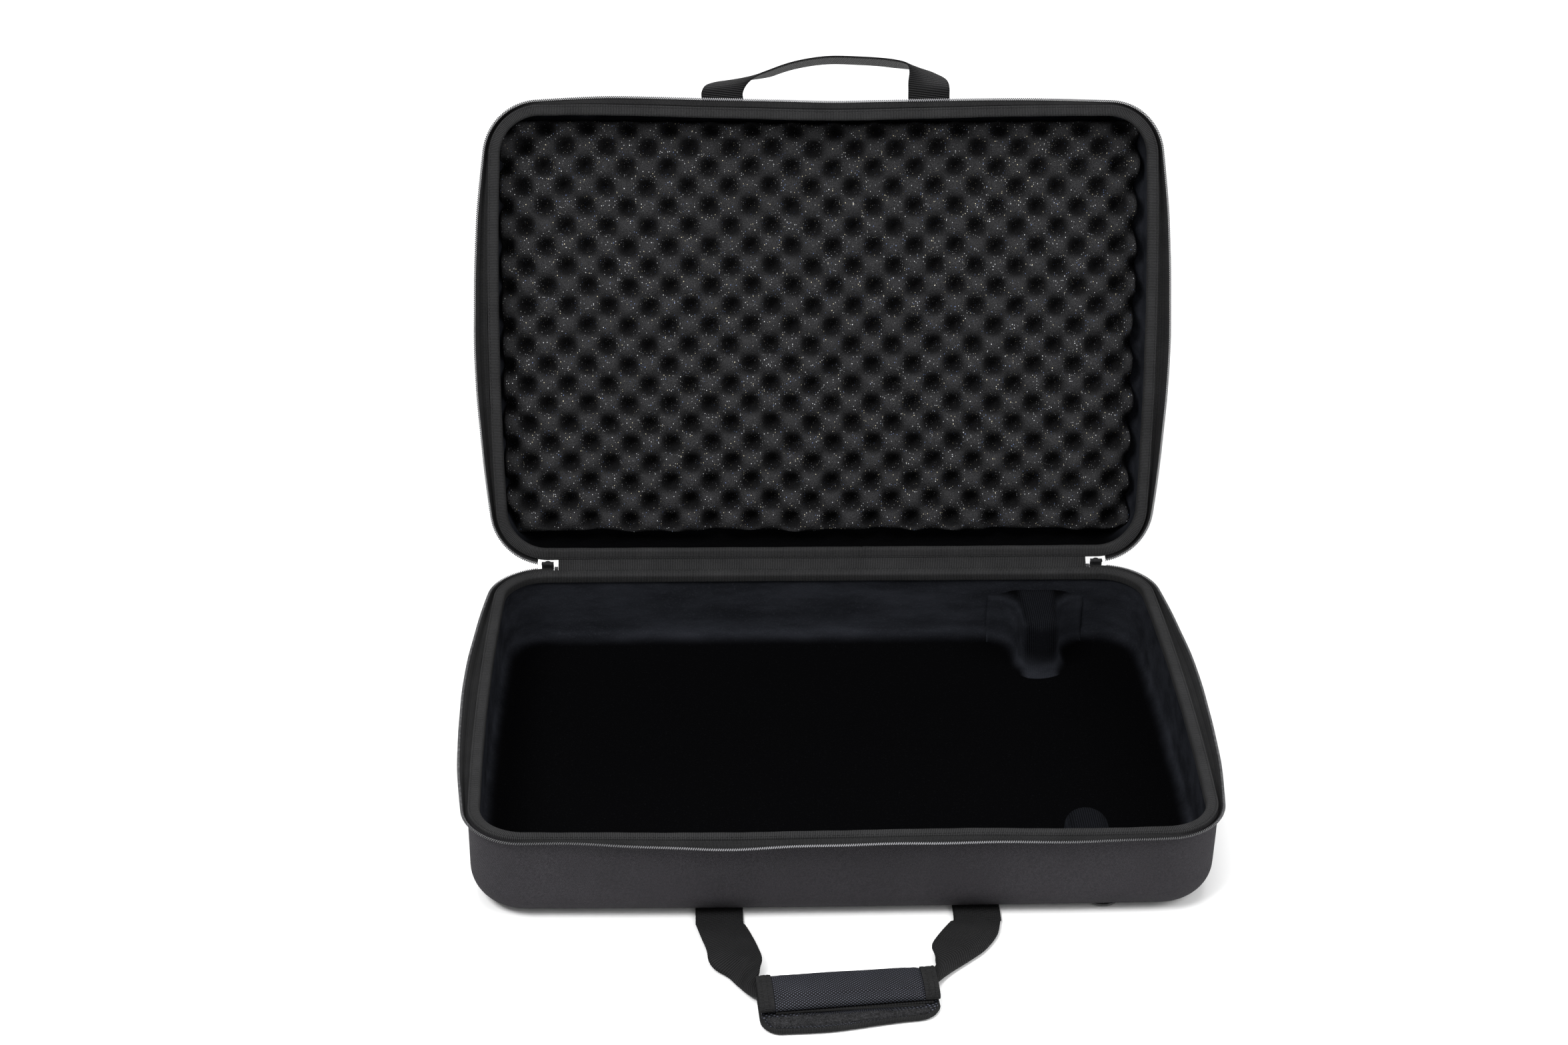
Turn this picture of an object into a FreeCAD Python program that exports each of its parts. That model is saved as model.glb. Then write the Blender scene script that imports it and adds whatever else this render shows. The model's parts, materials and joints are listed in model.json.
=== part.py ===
"""Zipped hard-shell carry case, lying open: base tray, hinged lid, handles, zip and rings.

Millimetres.  X is the case's width, Y runs from its front to its hinge, Z is up.
The origin is the middle of the base's flat bottom, on the surface that the case stands on.
"""
import FreeCAD, Part
import math
import os
from collections import namedtuple

V = FreeCAD.Vector
X_AXIS = V(1, 0, 0)
Y_AXIS = V(0, 1, 0)
Z_AXIS = V(0, 0, 1)
ORIGIN = V(0, 0, 0)
SIDES = (-1, 1)

# ---- driving dimensions ------------------------------------------------------------------
BASE_HEIGHT = 67.25        # bottom face to the zip's middle plane
LID_HEIGHT = 49.5          # the lid's outer face to the zip's middle plane
LID_OPEN = 106.96          # degrees that the lid stands open
SHELL_HALF_X = 248.0       # shell, at the middle of its sides
SHELL_FRONT = 171.5
SHELL_REAR = 169.0
SHELL_CORNER = 38.0
SHELL_BOW_X = 3.0
SHELL_BOW_Y = 1.5
EDGE_FILLET = 22.0         # outer edge between a wall and the big face
LINING_FILLET = 13.0
WALL = 4.5
BOTTOM = 5.5
LINING = 1.2
ZIP_HALF_X = 259.0         # outer edge of the coils, at the middle of the sides
ZIP_FRONT = 180.0
ZIP_REAR = 173.6
ZIP_CORNER = 43.0
ZIP_BOW_X = 9.0
ZIP_BOW_FRONT = 6.5
ZIP_BOW_REAR = 0.4
BINDING_HEIGHT = 6.0
BINDING_WIDTH = 8.0
COIL_WIDTH = 2.2
COIL_GAP = 0.25            # from a coil to the zip's middle plane
COIL_HEIGHT = 1.6
TAPE_DROP = 0.65           # from the tape to the zip's middle plane
TAPE_THICK = 1.0
HINGE_HALF = 199.0         # half length of the fabric hinge
STOP_END = 202.0
ZIP_START = 212.8          # where the base's coil begins on the rear edge
LID_COIL_START = 222.0     # further round the corner, so that the sliders pass the open lid's coil
SLIDER_LENGTH = 9.0
SLIDER_HALF_HEIGHT = 3.35
SLIDER_MOUTH = 2.2         # half height of the slot that the coils run in
SLIDER_INNER = 2.2         # how far the slider reaches inside the coils' outer edge
SLIDER_CLEARANCE = 0.4
SLIDER_PLATE = 1.0
SLIDER_POST = 0.9          # radius of the post that the pull hangs from
CAP_HALF_X = 2.4
CAP_HALF_Z = 1.1
CAP_THICK = 0.5
PULL_OUT = 2.0             # from the coils' outer edge to the pull's inner face
PULL_THICK = 0.9
PULL_LENGTH = 18.0
PULL_HEAD = 3.2
PULL_FOOT = 3.4
PULL_WAIST = 2.2
PULL_EYE = 1.3
PULL_HOLE = 1.5
STOP_DEPTH = 3.0
STOP_HEIGHT = 1.8
WEBBING = 31.0
WEBBING_THICK = 1.6
STITCH = 0.5
STITCH_WIDTH = 0.8
STITCH_INSET = 3.0         # from the webbing's edges to its stitching
STITCH_BOX = 30.0          # length of the stitched box
HINGE_GAP = 0.7            # from the handles' hinge to the strap and, behind it, to the sewn end
RECESS_CLEARANCE = 0.4
RECESS_FRONT_Y = -190.0    # recesses in the bottom run out past the front wall
HANDLE_HINGE_Y = -176.0    # where both handles bend, just past the front wall
ANCHOR_REAR_Y = -101.0
ANCHOR_SINK = 0.7          # the sewn webbing's lower face, above the bottom face
BASE_ROOTS = (-82.0, 86.0)
LID_ROOTS = (-74.0, 80.0)
GRIP_HALF = 56.5           # half the grip's length
GRIP_TILT = 4.0
GRIP_CENTRE = V(-3.0, -253.4, 0)
CORE_Z = 6.4               # middle of the webbing inside the grip
CORE_PROUD = 0.4           # how far the webbing stands out of the grip's ends before it bends
LOWER_THICK = 4.4
COVER_THICK = 5.2
COVER_LOW = CORE_Z + WEBBING_THICK / 2 + 0.4
LOWER_LOW = CORE_Z - WEBBING_THICK / 2 - LOWER_THICK
GRIP_REAR = 17.0           # from the grip's middle line to the cover's fold
GRIP_FRONT = -15.5
FLAP_FRONT = -31.0
FLAP_THICK = 2.6
END_BINDING = 9.0
BIND = 2.0                 # width of the grip's bound edges
BIND_PROUD = 0.2           # how far the bound edge stands below and above the flap
COVER_CROWN = 1.6
COVER_FOAM = 3.0
FLAP_CORNER = 14.0
LOOP_INSET = 8.0
LOOP_THICK = 1.4
HOOK_INSET = 10.0
HOOK_THICK = 1.2
CORE_HALF = 15.0           # half width of the webbing inside the grip
ARCH_LEFT = V(-78, -184, 0)    # the lid handle's arch, seen along the closed lid
ARCH_TOP = V(3, -202, 0)
ARCH_RIGHT = V(84, -184, 0)
ARCH_LEAN = V(0, 0.22, -0.976)
ARCH_SHIFT = -1.5
ROOT_END_Y = -188.0
FOAM_LEFT = -238.2
FOAM_RIGHT = 235.6
FOAM_FRONT = -155.4
FOAM_REAR = 153.6
FOAM_THICK = 20.5
FOAM_CORNER = 12.0
FOAM_SKIN = 2.5
POST_X = 161.0
POST_HALF = 14.0
POST_FLARE = 22.0
POST_TOP = 50.0
POST_REAR_TIP = 115.0
POST_FRONT_TIP = -112.0
POST_ROOT_Y = 162.0        # where the flared root meets the wall
POST_WALL_Y = 172.0        # inside the wall, before the root is cut to the lining
POST_ROUND = 7.0
RING_X = 170.8
RING_WIRE = 2.2
RING_BAR_Y = -142.0
RING_BAR_Z = 2.2
RING_ARC = 10.2            # centre line of the ring's round end
RING_STRAIGHT = 8.5
RING_CLEARANCE = 0.1
TAB_HALF = 7.0
TAB_THICK = 0.85
TAB_REAR_Y = -106.0
POCKET_HALF = 15.0
POCKET_REAR_Y = -104.0
POCKET_DEPTH = 4.3

HINGE_LINE = V(0, ZIP_REAR, BASE_HEIGHT)

# ---- outlines seen from above ---------------------------------------------------------------
# A rounded rectangle whose sides are large arcs.  Every field shrinks by the same amount
# when the outline is inset, so each piece follows its neighbour at a constant distance.
Outline = namedtuple("Outline", "half_x front rear arc_x arc_front arc_rear corner")


def bow_radius(half_length, bow):
    """Radius of an arc that rises by bow at the middle of a side."""
    return (half_length ** 2 + bow ** 2) / (2 * bow)


def make_outline(half_x, front, rear, corner, bow_x, bow_front, bow_rear):
    arc_x = bow_radius((front + rear) / 2 - corner, bow_x)
    arc_front = bow_radius(half_x - corner, bow_front)
    arc_rear = bow_radius(half_x - corner, bow_rear)
    return Outline(half_x, front, rear, arc_x, arc_front, arc_rear, corner)


def inset(outline, distance):
    return Outline(*[value - distance for value in outline])


def corner_centre(outline, depth, arc_y):
    """Centre of the corner arc that is tangent to the side arc and to the end arc."""
    x = outline.half_x - outline.corner
    y = depth - outline.corner
    for step in range(30):
        x = outline.half_x - outline.arc_x + math.sqrt((outline.arc_x - outline.corner) ** 2 - y ** 2)
        y = depth - arc_y + math.sqrt((arc_y - outline.corner) ** 2 - x ** 2)
    return V(x, y, 0)


def corner_points(outline, depth, arc_y):
    """Side end, middle and end-wall end of the corner arc, in the quadrant x > 0, y > 0."""
    centre = corner_centre(outline, depth, arc_y)
    to_side = centre - V(outline.half_x - outline.arc_x, 0, 0)
    to_end = centre - V(0, depth - arc_y, 0)
    to_side.normalize()
    to_end.normalize()
    middle = to_side + to_end
    middle.normalize()
    return [centre + direction * outline.corner for direction in (to_side, middle, to_end)]


def outline_wire(outline, z):
    rear = corner_points(outline, outline.rear, outline.arc_rear)
    front = corner_points(outline, outline.front, outline.arc_front)
    left_rear = [V(-p.x, p.y, 0) for p in reversed(rear)]
    left_front = [V(-p.x, -p.y, 0) for p in front]
    right_front = [V(p.x, -p.y, 0) for p in reversed(front)]
    middles = [V(0, outline.rear, 0), V(-outline.half_x, 0, 0),
               V(0, -outline.front, 0), V(outline.half_x, 0, 0)]
    corners = [rear, left_rear, left_front, right_front]
    edges = []
    for index, corner in enumerate(corners):
        following = corners[(index + 1) % 4]
        edges.append(Part.Arc(*corner).toShape())
        edges.append(Part.Arc(corner[2], middles[index], following[0]).toShape())
    wire = Part.Wire(edges)
    wire.translate(V(0, 0, z))
    return wire


def outline_prism(outline, low, high):
    return Part.Face(outline_wire(outline, low)).extrude(V(0, 0, high - low))


def ring(outer, width, low, high):
    return outline_prism(outer, low, high).cut(outline_prism(inset(outer, width), low - 1, high + 1))


SHELL = make_outline(SHELL_HALF_X, SHELL_FRONT, SHELL_REAR, SHELL_CORNER,
                     SHELL_BOW_X, SHELL_BOW_Y, SHELL_BOW_Y / 5)
ZIP = make_outline(ZIP_HALF_X, ZIP_FRONT, ZIP_REAR, ZIP_CORNER, ZIP_BOW_X, ZIP_BOW_FRONT, ZIP_BOW_REAR)
ZIP_CORNER_CENTRE = corner_centre(ZIP, ZIP.rear, ZIP.arc_rear)

# ---- helpers ----------------------------------------------------------------------------------


def box(low, high):
    return Part.makeBox(high[0] - low[0], high[1] - low[1], high[2] - low[2], V(*low))


def group(shapes):
    return Part.makeCompound(shapes)


def rounded_tray(outline, low, high, fillet):
    """A filled tray shape: the outline's prism with its bottom edge rounded."""
    body = outline_prism(outline, low, high)
    edges = [edge for edge in body.Edges if edge.BoundBox.ZMax < low + 0.01]
    return body.makeFillet(fillet, edges)


def fillet_top(shape, radius, z, clear_y):
    """Rounds the top edges that stay on the near side of clear_y."""
    edges = [edge for edge in shape.Edges
             if edge.BoundBox.ZMin > z - 0.01
             and max(abs(edge.BoundBox.YMin), abs(edge.BoundBox.YMax)) < clear_y]
    return shape.makeFillet(radius, edges)


def flat_strap(centres, width, thickness):
    """Webbing whose width runs along X, through its centre points."""
    across = V(width / 2, 0, 0)
    rise = V(0, 0, thickness / 2)
    pieces = []
    for near, far in zip(centres, centres[1:]):
        sections = []
        for centre in (near, far):
            corners = [centre + across + rise, centre - across + rise,
                       centre - across - rise, centre + across - rise]
            sections.append(Part.makePolygon(corners + corners[:1]))
        pieces.append(Part.makeLoft(sections, True, True))
    return pieces[0].multiFuse(pieces[1:]) if len(pieces) > 1 else pieces[0]


def open_lid(shape):
    """Turns a lid piece, modelled as a tray on its big face, onto the zip line and opens it."""
    placed = shape.mirror(ORIGIN, Z_AXIS)
    placed.translate(V(0, 0, BASE_HEIGHT + LID_HEIGHT))
    placed.rotate(HINGE_LINE, X_AXIS, -LID_OPEN)
    return placed


# ---- pieces that the base and the lid share -------------------------------------------------


def tray_shell(height):
    wall_top = height - COIL_GAP - BINDING_HEIGHT
    outer = rounded_tray(SHELL, 0, wall_top, EDGE_FILLET)
    return outer.cut(rounded_tray(inset(SHELL, WALL), BOTTOM, wall_top + 1, LINING_FILLET + LINING))


def lined_space(height, inside=0):
    wall_top = height - COIL_GAP - BINDING_HEIGHT
    depth = WALL + inside
    return rounded_tray(inset(SHELL, depth), BOTTOM + inside, wall_top, LINING_FILLET + LINING - inside)


def tray_lining(height):
    return lined_space(height).cut(lined_space(height + 1, LINING))


def rim_binding(height):
    top = height - COIL_GAP
    return ring(SHELL, BINDING_WIDTH, top - BINDING_HEIGHT, top)


def zip_tape(height, rear_gap):
    """Flange of tape from the shell's edge out to the coil, open along the hinge."""
    top = height - TAPE_DROP
    flange = outline_prism(inset(ZIP, COIL_WIDTH), top - TAPE_THICK, top)
    flange = flange.cut(outline_prism(SHELL, top - 10, top + 10))
    return flange.cut(box((-rear_gap, 100, 0), (rear_gap, 200, height + 10)))


def zip_coil(height, start):
    top = height - COIL_GAP
    coil = ring(ZIP, COIL_WIDTH, top - COIL_HEIGHT, top)
    return coil.cut(box((-start, 100, 0), (start, 200, height + 10)))


def hinge_leaf(height):
    top = height - TAPE_DROP
    strip = box((-HINGE_HALF, 150, top - TAPE_THICK), (HINGE_HALF, ZIP_REAR - 0.4, top))
    return strip.cut(outline_prism(SHELL, top - 10, top + 10))


def stitched_patch(root_x, low_z):
    """Box-and-cross stitching on a sewn webbing end."""
    inset_x = WEBBING / 2 - STITCH_INSET
    rear = ANCHOR_REAR_Y - STITCH_INSET
    front = rear - STITCH_BOX
    corners = [V(root_x - inset_x, rear, 0), V(root_x + inset_x, rear, 0),
               V(root_x + inset_x, front, 0), V(root_x - inset_x, front, 0)]
    pairs = [(0, 1), (1, 2), (2, 3), (3, 0), (0, 2), (1, 3)]
    seams = []
    for first, second in pairs:
        start = corners[first]
        run = corners[second] - start
        seam = Part.makeBox(run.Length, STITCH_WIDTH, STITCH, V(0, -STITCH_WIDTH / 2, 0))
        seam.rotate(ORIGIN, Z_AXIS, math.degrees(math.atan2(run.y, run.x)))
        seam.translate(start + V(0, 0, low_z))
        seams.append(seam)
    return seams[0].multiFuse(seams[1:])


def sewn_ends(roots, low_z):
    front = HANDLE_HINGE_Y + HINGE_GAP + 1.5
    half = WEBBING / 2
    ends = []
    for root_x in roots:
        ends.append(box((root_x - half, front, low_z), (root_x + half, ANCHOR_REAR_Y, low_z + WEBBING_THICK)))
    return group(ends)


# ---- base ------------------------------------------------------------------------------------


def base_shell():
    """Moulded tray with shallow recesses for the sewn webbing and the ring tabs."""
    shell = tray_shell(BASE_HEIGHT)
    half = WEBBING / 2 + RECESS_CLEARANCE
    rear = ANCHOR_REAR_Y + RECESS_CLEARANCE
    for root_x in BASE_ROOTS:
        recess = box((root_x - half, RECESS_FRONT_Y, -1), (root_x + half, rear, ANCHOR_SINK + WEBBING_THICK))
        shell = shell.cut(recess)
    for side in SIDES:
        left = side * RING_X - POCKET_HALF
        pocket = box((left, RECESS_FRONT_Y, -1), (left + 2 * POCKET_HALF, POCKET_REAR_Y, POCKET_DEPTH))
        shell = shell.cut(pocket)
    return shell


def locating_post(tip_y):
    """Flared post on a tray wall, rounded at its tip and top, fitted into the lining."""
    sign = 1 if tip_y > 0 else -1
    wall_y = sign * POST_WALL_Y
    root_y = sign * POST_ROOT_Y
    flare_y = root_y - sign * POST_FLARE
    nose_y = tip_y + sign * POST_HALF
    diagonal = math.sqrt(0.5)
    left = POST_X - POST_HALF
    right = POST_X + POST_HALF
    sweep = POST_FLARE * (1 - diagonal)
    points = {
        "wall_left": V(left - POST_FLARE, wall_y, 0),
        "root_left": V(left - POST_FLARE, root_y, 0),
        "bend_left": V(left - sweep, flare_y + sign * POST_FLARE * diagonal, 0),
        "neck_left": V(left, flare_y, 0),
        "side_left": V(left, nose_y, 0),
        "tip": V(POST_X, tip_y, 0),
        "side_right": V(right, nose_y, 0),
        "neck_right": V(right, flare_y, 0),
        "bend_right": V(right + sweep, flare_y + sign * POST_FLARE * diagonal, 0),
        "root_right": V(right + POST_FLARE, root_y, 0),
        "wall_right": V(right + POST_FLARE, wall_y, 0),
    }
    at = points.get
    edges = [
        Part.LineSegment(at("wall_left"), at("root_left")).toShape(),
        Part.Arc(at("root_left"), at("bend_left"), at("neck_left")).toShape(),
        Part.LineSegment(at("neck_left"), at("side_left")).toShape(),
        Part.Arc(at("side_left"), at("tip"), at("side_right")).toShape(),
        Part.LineSegment(at("side_right"), at("neck_right")).toShape(),
        Part.Arc(at("neck_right"), at("bend_right"), at("root_right")).toShape(),
        Part.LineSegment(at("root_right"), at("wall_right")).toShape(),
        Part.LineSegment(at("wall_right"), at("wall_left")).toShape(),
    ]
    block = Part.Face(Part.Wire(edges)).extrude(V(0, 0, POST_TOP))
    block = fillet_top(block, POST_ROUND, POST_TOP, POST_WALL_Y - 1)
    return block.common(lined_space(BASE_HEIGHT, LINING))


def zip_stops():
    top = BASE_HEIGHT - COIL_GAP
    stops = []
    for side in SIDES:
        ends = sorted((side * (HINGE_HALF + 0.3), side * STOP_END))
        low = (ends[0], ZIP_REAR - 0.2 - STOP_DEPTH, top - STOP_HEIGHT)
        high = (ends[1], ZIP_REAR - 0.2, top)
        stops.append(box(low, high))
    return group(stops)


def ring_tabs():
    """Webbing tabs sewn flat in the pockets, each looped round its ring's straight bar."""
    tabs = []
    width = 2 * TAB_HALF
    bore = RING_WIRE / 2 + RING_CLEARANCE
    for side in SIDES:
        start = V(side * RING_X - TAB_HALF, RING_BAR_Y, RING_BAR_Z)
        loop = Part.makeCylinder(bore + TAB_THICK, width, start, X_AXIS)
        low = (start.x, RING_BAR_Y, POCKET_DEPTH - TAB_THICK)
        flat = box(low, (start.x + width, TAB_REAR_Y, POCKET_DEPTH))
        hole = Part.makeCylinder(bore, width + 2, start - X_AXIS, X_AXIS)
        tabs.append(loop.fuse(flat).cut(hole))
    return group(tabs)


def d_ring(side, direction):
    """Wire ring: straight bar, two short sides and a half-round end towards direction."""
    middle = side * RING_X
    left = V(middle - RING_ARC, RING_BAR_Y, RING_BAR_Z)
    right = V(middle + RING_ARC, RING_BAR_Y, RING_BAR_Z)
    reach = V(0, direction * RING_STRAIGHT, 0)
    tip = V(middle, RING_BAR_Y + direction * (RING_STRAIGHT + RING_ARC), RING_BAR_Z)
    arc = Part.Arc(left + reach, tip, right + reach).toShape()
    path = Part.Wire([Part.LineSegment(left, left + reach).toShape(), arc,
                      Part.LineSegment(right + reach, right).toShape()])
    profile = Part.Wire(Part.Circle(left, V(0, 1, 0), RING_WIRE / 2).toShape())
    bow = path.makePipeShell([profile], True, False)
    bar = Part.makeCylinder(RING_WIRE / 2, 2 * RING_ARC, left, X_AXIS)
    ends = [Part.makeSphere(RING_WIRE / 2, point) for point in (left, right)]
    return bow.multiFuse([bar] + ends).removeSplitter()


# ---- zip sliders -----------------------------------------------------------------------------


def slider(side):
    """Channel that embraces both coils, with a post and cap that hold the pull."""
    half = SLIDER_LENGTH / 2
    centre = V(side * ZIP_CORNER_CENTRE.x, ZIP_REAR, BASE_HEIGHT)
    inner = -SLIDER_INNER
    face = SLIDER_CLEARANCE + SLIDER_PLATE
    cap_y = PULL_OUT + PULL_THICK + SLIDER_CLEARANCE
    plate = box((-half, inner, -SLIDER_HALF_HEIGHT), (half, face, SLIDER_HALF_HEIGHT))
    channel = box((-half - 1, inner - 1, -SLIDER_MOUTH), (half + 1, SLIDER_CLEARANCE, SLIDER_MOUTH))
    body = plate.cut(channel)
    outer = [edge for edge in body.Edges
             if edge.BoundBox.YMin > face - 0.1 and edge.BoundBox.YLength < 0.01]
    body = body.makeFillet(SLIDER_CLEARANCE, outer)
    post = Part.makeCylinder(SLIDER_POST, cap_y - face + 0.2, V(0, face - 0.1, 0), Y_AXIS)
    cap = box((-CAP_HALF_X, cap_y, -CAP_HALF_Z), (CAP_HALF_X, cap_y + CAP_THICK, CAP_HALF_Z))
    whole = body.multiFuse([post, cap])
    whole.translate(centre)
    return whole


def pull_tab(side):
    """Flat pull that hangs from the slider's post, waisted below its eye."""
    eye = V(side * ZIP_CORNER_CENTRE.x, ZIP_REAR + PULL_OUT, BASE_HEIGHT)
    end = eye - V(0, 0, PULL_LENGTH)
    head = Part.makeCylinder(PULL_HEAD, PULL_THICK, eye, Y_AXIS)
    blade = box((eye.x - PULL_WAIST, eye.y, end.z), (eye.x + PULL_WAIST, eye.y + PULL_THICK, eye.z))
    foot = Part.makeCylinder(PULL_FOOT, PULL_THICK, end, Y_AXIS)
    eye_hole = Part.makeCylinder(PULL_EYE, PULL_THICK + 2, eye - Y_AXIS, Y_AXIS)
    finger_hole = Part.makeCylinder(PULL_HOLE, PULL_THICK + 2, end - Y_AXIS, Y_AXIS)
    return head.multiFuse([blade, foot]).cut(eye_hole).cut(finger_hole)


# ---- lid -------------------------------------------------------------------------------------


def foam_pad():
    """Sheet of convoluted foam as a plain skin, open behind, since foam weighs little."""
    top = BOTTOM + LINING + FOAM_THICK
    block = box((FOAM_LEFT, FOAM_FRONT, 0), (FOAM_RIGHT, FOAM_REAR, top))
    edges = [edge for edge in block.Edges if edge.BoundBox.ZLength > 10]
    block = block.makeFillet(FOAM_CORNER, edges).common(lined_space(LID_HEIGHT, LINING))
    skin = FOAM_SKIN
    hollow = box((FOAM_LEFT + skin, FOAM_FRONT + skin, 0), (FOAM_RIGHT - skin, FOAM_REAR - skin, top - skin))
    edges = [edge for edge in hollow.Edges if edge.BoundBox.ZLength > 10]
    return block.cut(hollow.makeFillet(FOAM_CORNER, edges))


def lid_handle():
    """Low arch of webbing: two flat roots, and a band on edge between them."""
    low = -WEBBING_THICK / 2
    half = V(0, WEBBING_THICK / 2, 0)
    edges = [
        Part.Arc(ARCH_LEFT + half, ARCH_TOP + half, ARCH_RIGHT + half).toShape(),
        Part.LineSegment(ARCH_RIGHT + half, ARCH_RIGHT - half).toShape(),
        Part.Arc(ARCH_RIGHT - half, ARCH_TOP - half, ARCH_LEFT - half).toShape(),
        Part.LineSegment(ARCH_LEFT - half, ARCH_LEFT + half).toShape(),
    ]
    band = Part.Face(Part.Wire(edges)).extrude(ARCH_LEAN * WEBBING)
    band.translate(V(0, ARCH_SHIFT, 0))
    start = HANDLE_HINGE_Y - HINGE_GAP
    roots = [flat_strap([V(x, start, low), V(x, ROOT_END_Y, low)], WEBBING, WEBBING_THICK)
             for x in LID_ROOTS]
    return band.multiFuse(roots)


# ---- front handle and its wrap grip ----------------------------------------------------------


def on_grip(shape):
    """Places a piece modelled about the grip's middle, long side along X."""
    placed = shape.copy()
    placed.rotate(ORIGIN, Z_AXIS, GRIP_TILT)
    placed.translate(GRIP_CENTRE)
    return placed


def handle_leg(side, centres):
    """Flat strap from its root, then folded across into the grip's end."""
    flat = flat_strap(centres, WEBBING - 1, WEBBING_THICK)
    half_t = WEBBING_THICK / 2
    near = side * (GRIP_HALF + CORE_PROUD)
    far = side * (GRIP_HALF + 24)
    notch = side * (GRIP_HALF + 8)
    corners = [V(near, -CORE_HALF, 0), V(near, CORE_HALF, 0), V(far, CORE_HALF, 0), V(far, 5, 0),
               V(notch, -CORE_HALF, 0)]
    fold = Part.Face(Part.makePolygon(corners + corners[:1])).extrude(V(0, 0, WEBBING_THICK))
    fold.translate(V(0, 0, CORE_Z - half_t))
    grip_end = box((-abs(near), -40, -10), (abs(near), 40, 30))
    return flat.fuse(on_grip(fold)).cut(on_grip(grip_end))


def handle_leg_left():
    low = ANCHOR_SINK + WEBBING_THICK / 2
    x = BASE_ROOTS[0]
    return handle_leg(-1, [V(x, HANDLE_HINGE_Y - HINGE_GAP, low), V(x + 2, -195, low + 0.8),
                           V(x + 6.5, -218, low + 2.4), V(x + 11.5, -245, CORE_Z)])


def handle_leg_right():
    low = ANCHOR_SINK + WEBBING_THICK / 2
    x = BASE_ROOTS[1]
    return handle_leg(1, [V(x, HANDLE_HINGE_Y - HINGE_GAP, low), V(x - 5, -193, low + 0.8),
                          V(x - 13, -213, low + 2.4), V(x - 20, -238, CORE_Z)])


def webbing_core():
    half = GRIP_HALF + CORE_PROUD
    half_t = WEBBING_THICK / 2
    return on_grip(box((-half, -CORE_HALF, CORE_Z - half_t), (half, CORE_HALF, CORE_Z + half_t)))


def rounded_plate(low, high, radius, rounded_y):
    """Plate whose two corners on the side rounded_y are rounded."""
    plate = box(low, high)
    edges = [edge for edge in plate.Edges
             if edge.BoundBox.ZLength > 0.5 and edge.BoundBox.XLength < 0.01
             and edge.BoundBox.YLength < 0.01 and abs(edge.BoundBox.YMin - rounded_y) < 0.01]
    return plate.makeFillet(radius, edges)


def lower_panel():
    """Lower half of the wrap, under the webbing, with the closing flap in front."""
    low = (-GRIP_HALF + BIND, GRIP_FRONT, LOWER_LOW)
    pad = box(low, (GRIP_HALF - BIND, GRIP_REAR, LOWER_LOW + LOWER_THICK))
    flap = rounded_plate((-GRIP_HALF + BIND, FLAP_FRONT + BIND, LOWER_LOW),
                         (GRIP_HALF - BIND, GRIP_FRONT, LOWER_LOW + FLAP_THICK),
                        FLAP_CORNER - BIND, FLAP_FRONT + BIND)
    return on_grip(pad.fuse(flap).removeSplitter())


def lower_binding():
    """Bound edge round the flap and the two ends of the lower half."""
    outer = rounded_plate((-GRIP_HALF, FLAP_FRONT, LOWER_LOW - BIND_PROUD),
                          (GRIP_HALF, GRIP_REAR, LOWER_LOW + FLAP_THICK + BIND_PROUD),
                         FLAP_CORNER, FLAP_FRONT)
    inner = rounded_plate((-GRIP_HALF + BIND, FLAP_FRONT + BIND, LOWER_LOW - 1),
                          (GRIP_HALF - BIND, GRIP_REAR + 1, LOWER_LOW + 4),
                         FLAP_CORNER - BIND, FLAP_FRONT + BIND)
    return on_grip(outer.cut(inner))


def loop_strip():
    low = LOWER_LOW + FLAP_THICK
    half = GRIP_HALF - LOOP_INSET
    return on_grip(box((-half, FLAP_FRONT + 2 * BIND, low), (half, GRIP_FRONT - 0.3, low + LOOP_THICK)))


def cover_section(thickness):
    """Section across the cover: a shallow arch from its fold at the rear to its front edge."""
    rear = GRIP_REAR - 0.8
    front = GRIP_FRONT
    bottom = COVER_LOW
    top = bottom + thickness
    crown = top + COVER_CROWN
    edges = [
        Part.LineSegment(V(0, front, bottom), V(0, rear, bottom)).toShape(),
        Part.LineSegment(V(0, rear, bottom), V(0, rear, top - 1)).toShape(),
        Part.Arc(V(0, rear, top - 1), V(0, (rear + front) / 2, crown), V(0, front, top - 2)).toShape(),
        Part.LineSegment(V(0, front, top - 2), V(0, front, bottom)).toShape(),
    ]
    return Part.Face(Part.Wire(edges))


def cover_slice(start, length, thickness):
    face = cover_section(thickness)
    face.translate(V(start, 0, 0))
    return face.extrude(V(length, 0, 0))


def cover_foam():
    return on_grip(cover_slice(-GRIP_HALF + END_BINDING, 2 * (GRIP_HALF - END_BINDING), COVER_FOAM))


def cover_panel():
    start = -GRIP_HALF + END_BINDING
    length = 2 * (GRIP_HALF - END_BINDING)
    outer = cover_slice(start, length, COVER_THICK)
    return on_grip(outer.cut(cover_slice(start - 1, length + 2, COVER_FOAM)))


def cover_bindings():
    starts = (-GRIP_HALF, GRIP_HALF - END_BINDING)
    return on_grip(group([cover_slice(start, END_BINDING, COVER_THICK + 0.4) for start in starts]))


def hook_strip():
    """Hook tape under the cover's front edge, just above the loop strip's level."""
    half = GRIP_HALF - HOOK_INSET
    low = (-half, GRIP_FRONT + 0.2, COVER_LOW - HOOK_THICK)
    return on_grip(box(low, (half, GRIP_FRONT + 0.45, COVER_LOW)))


# ---- all nodes -------------------------------------------------------------------------------


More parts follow.
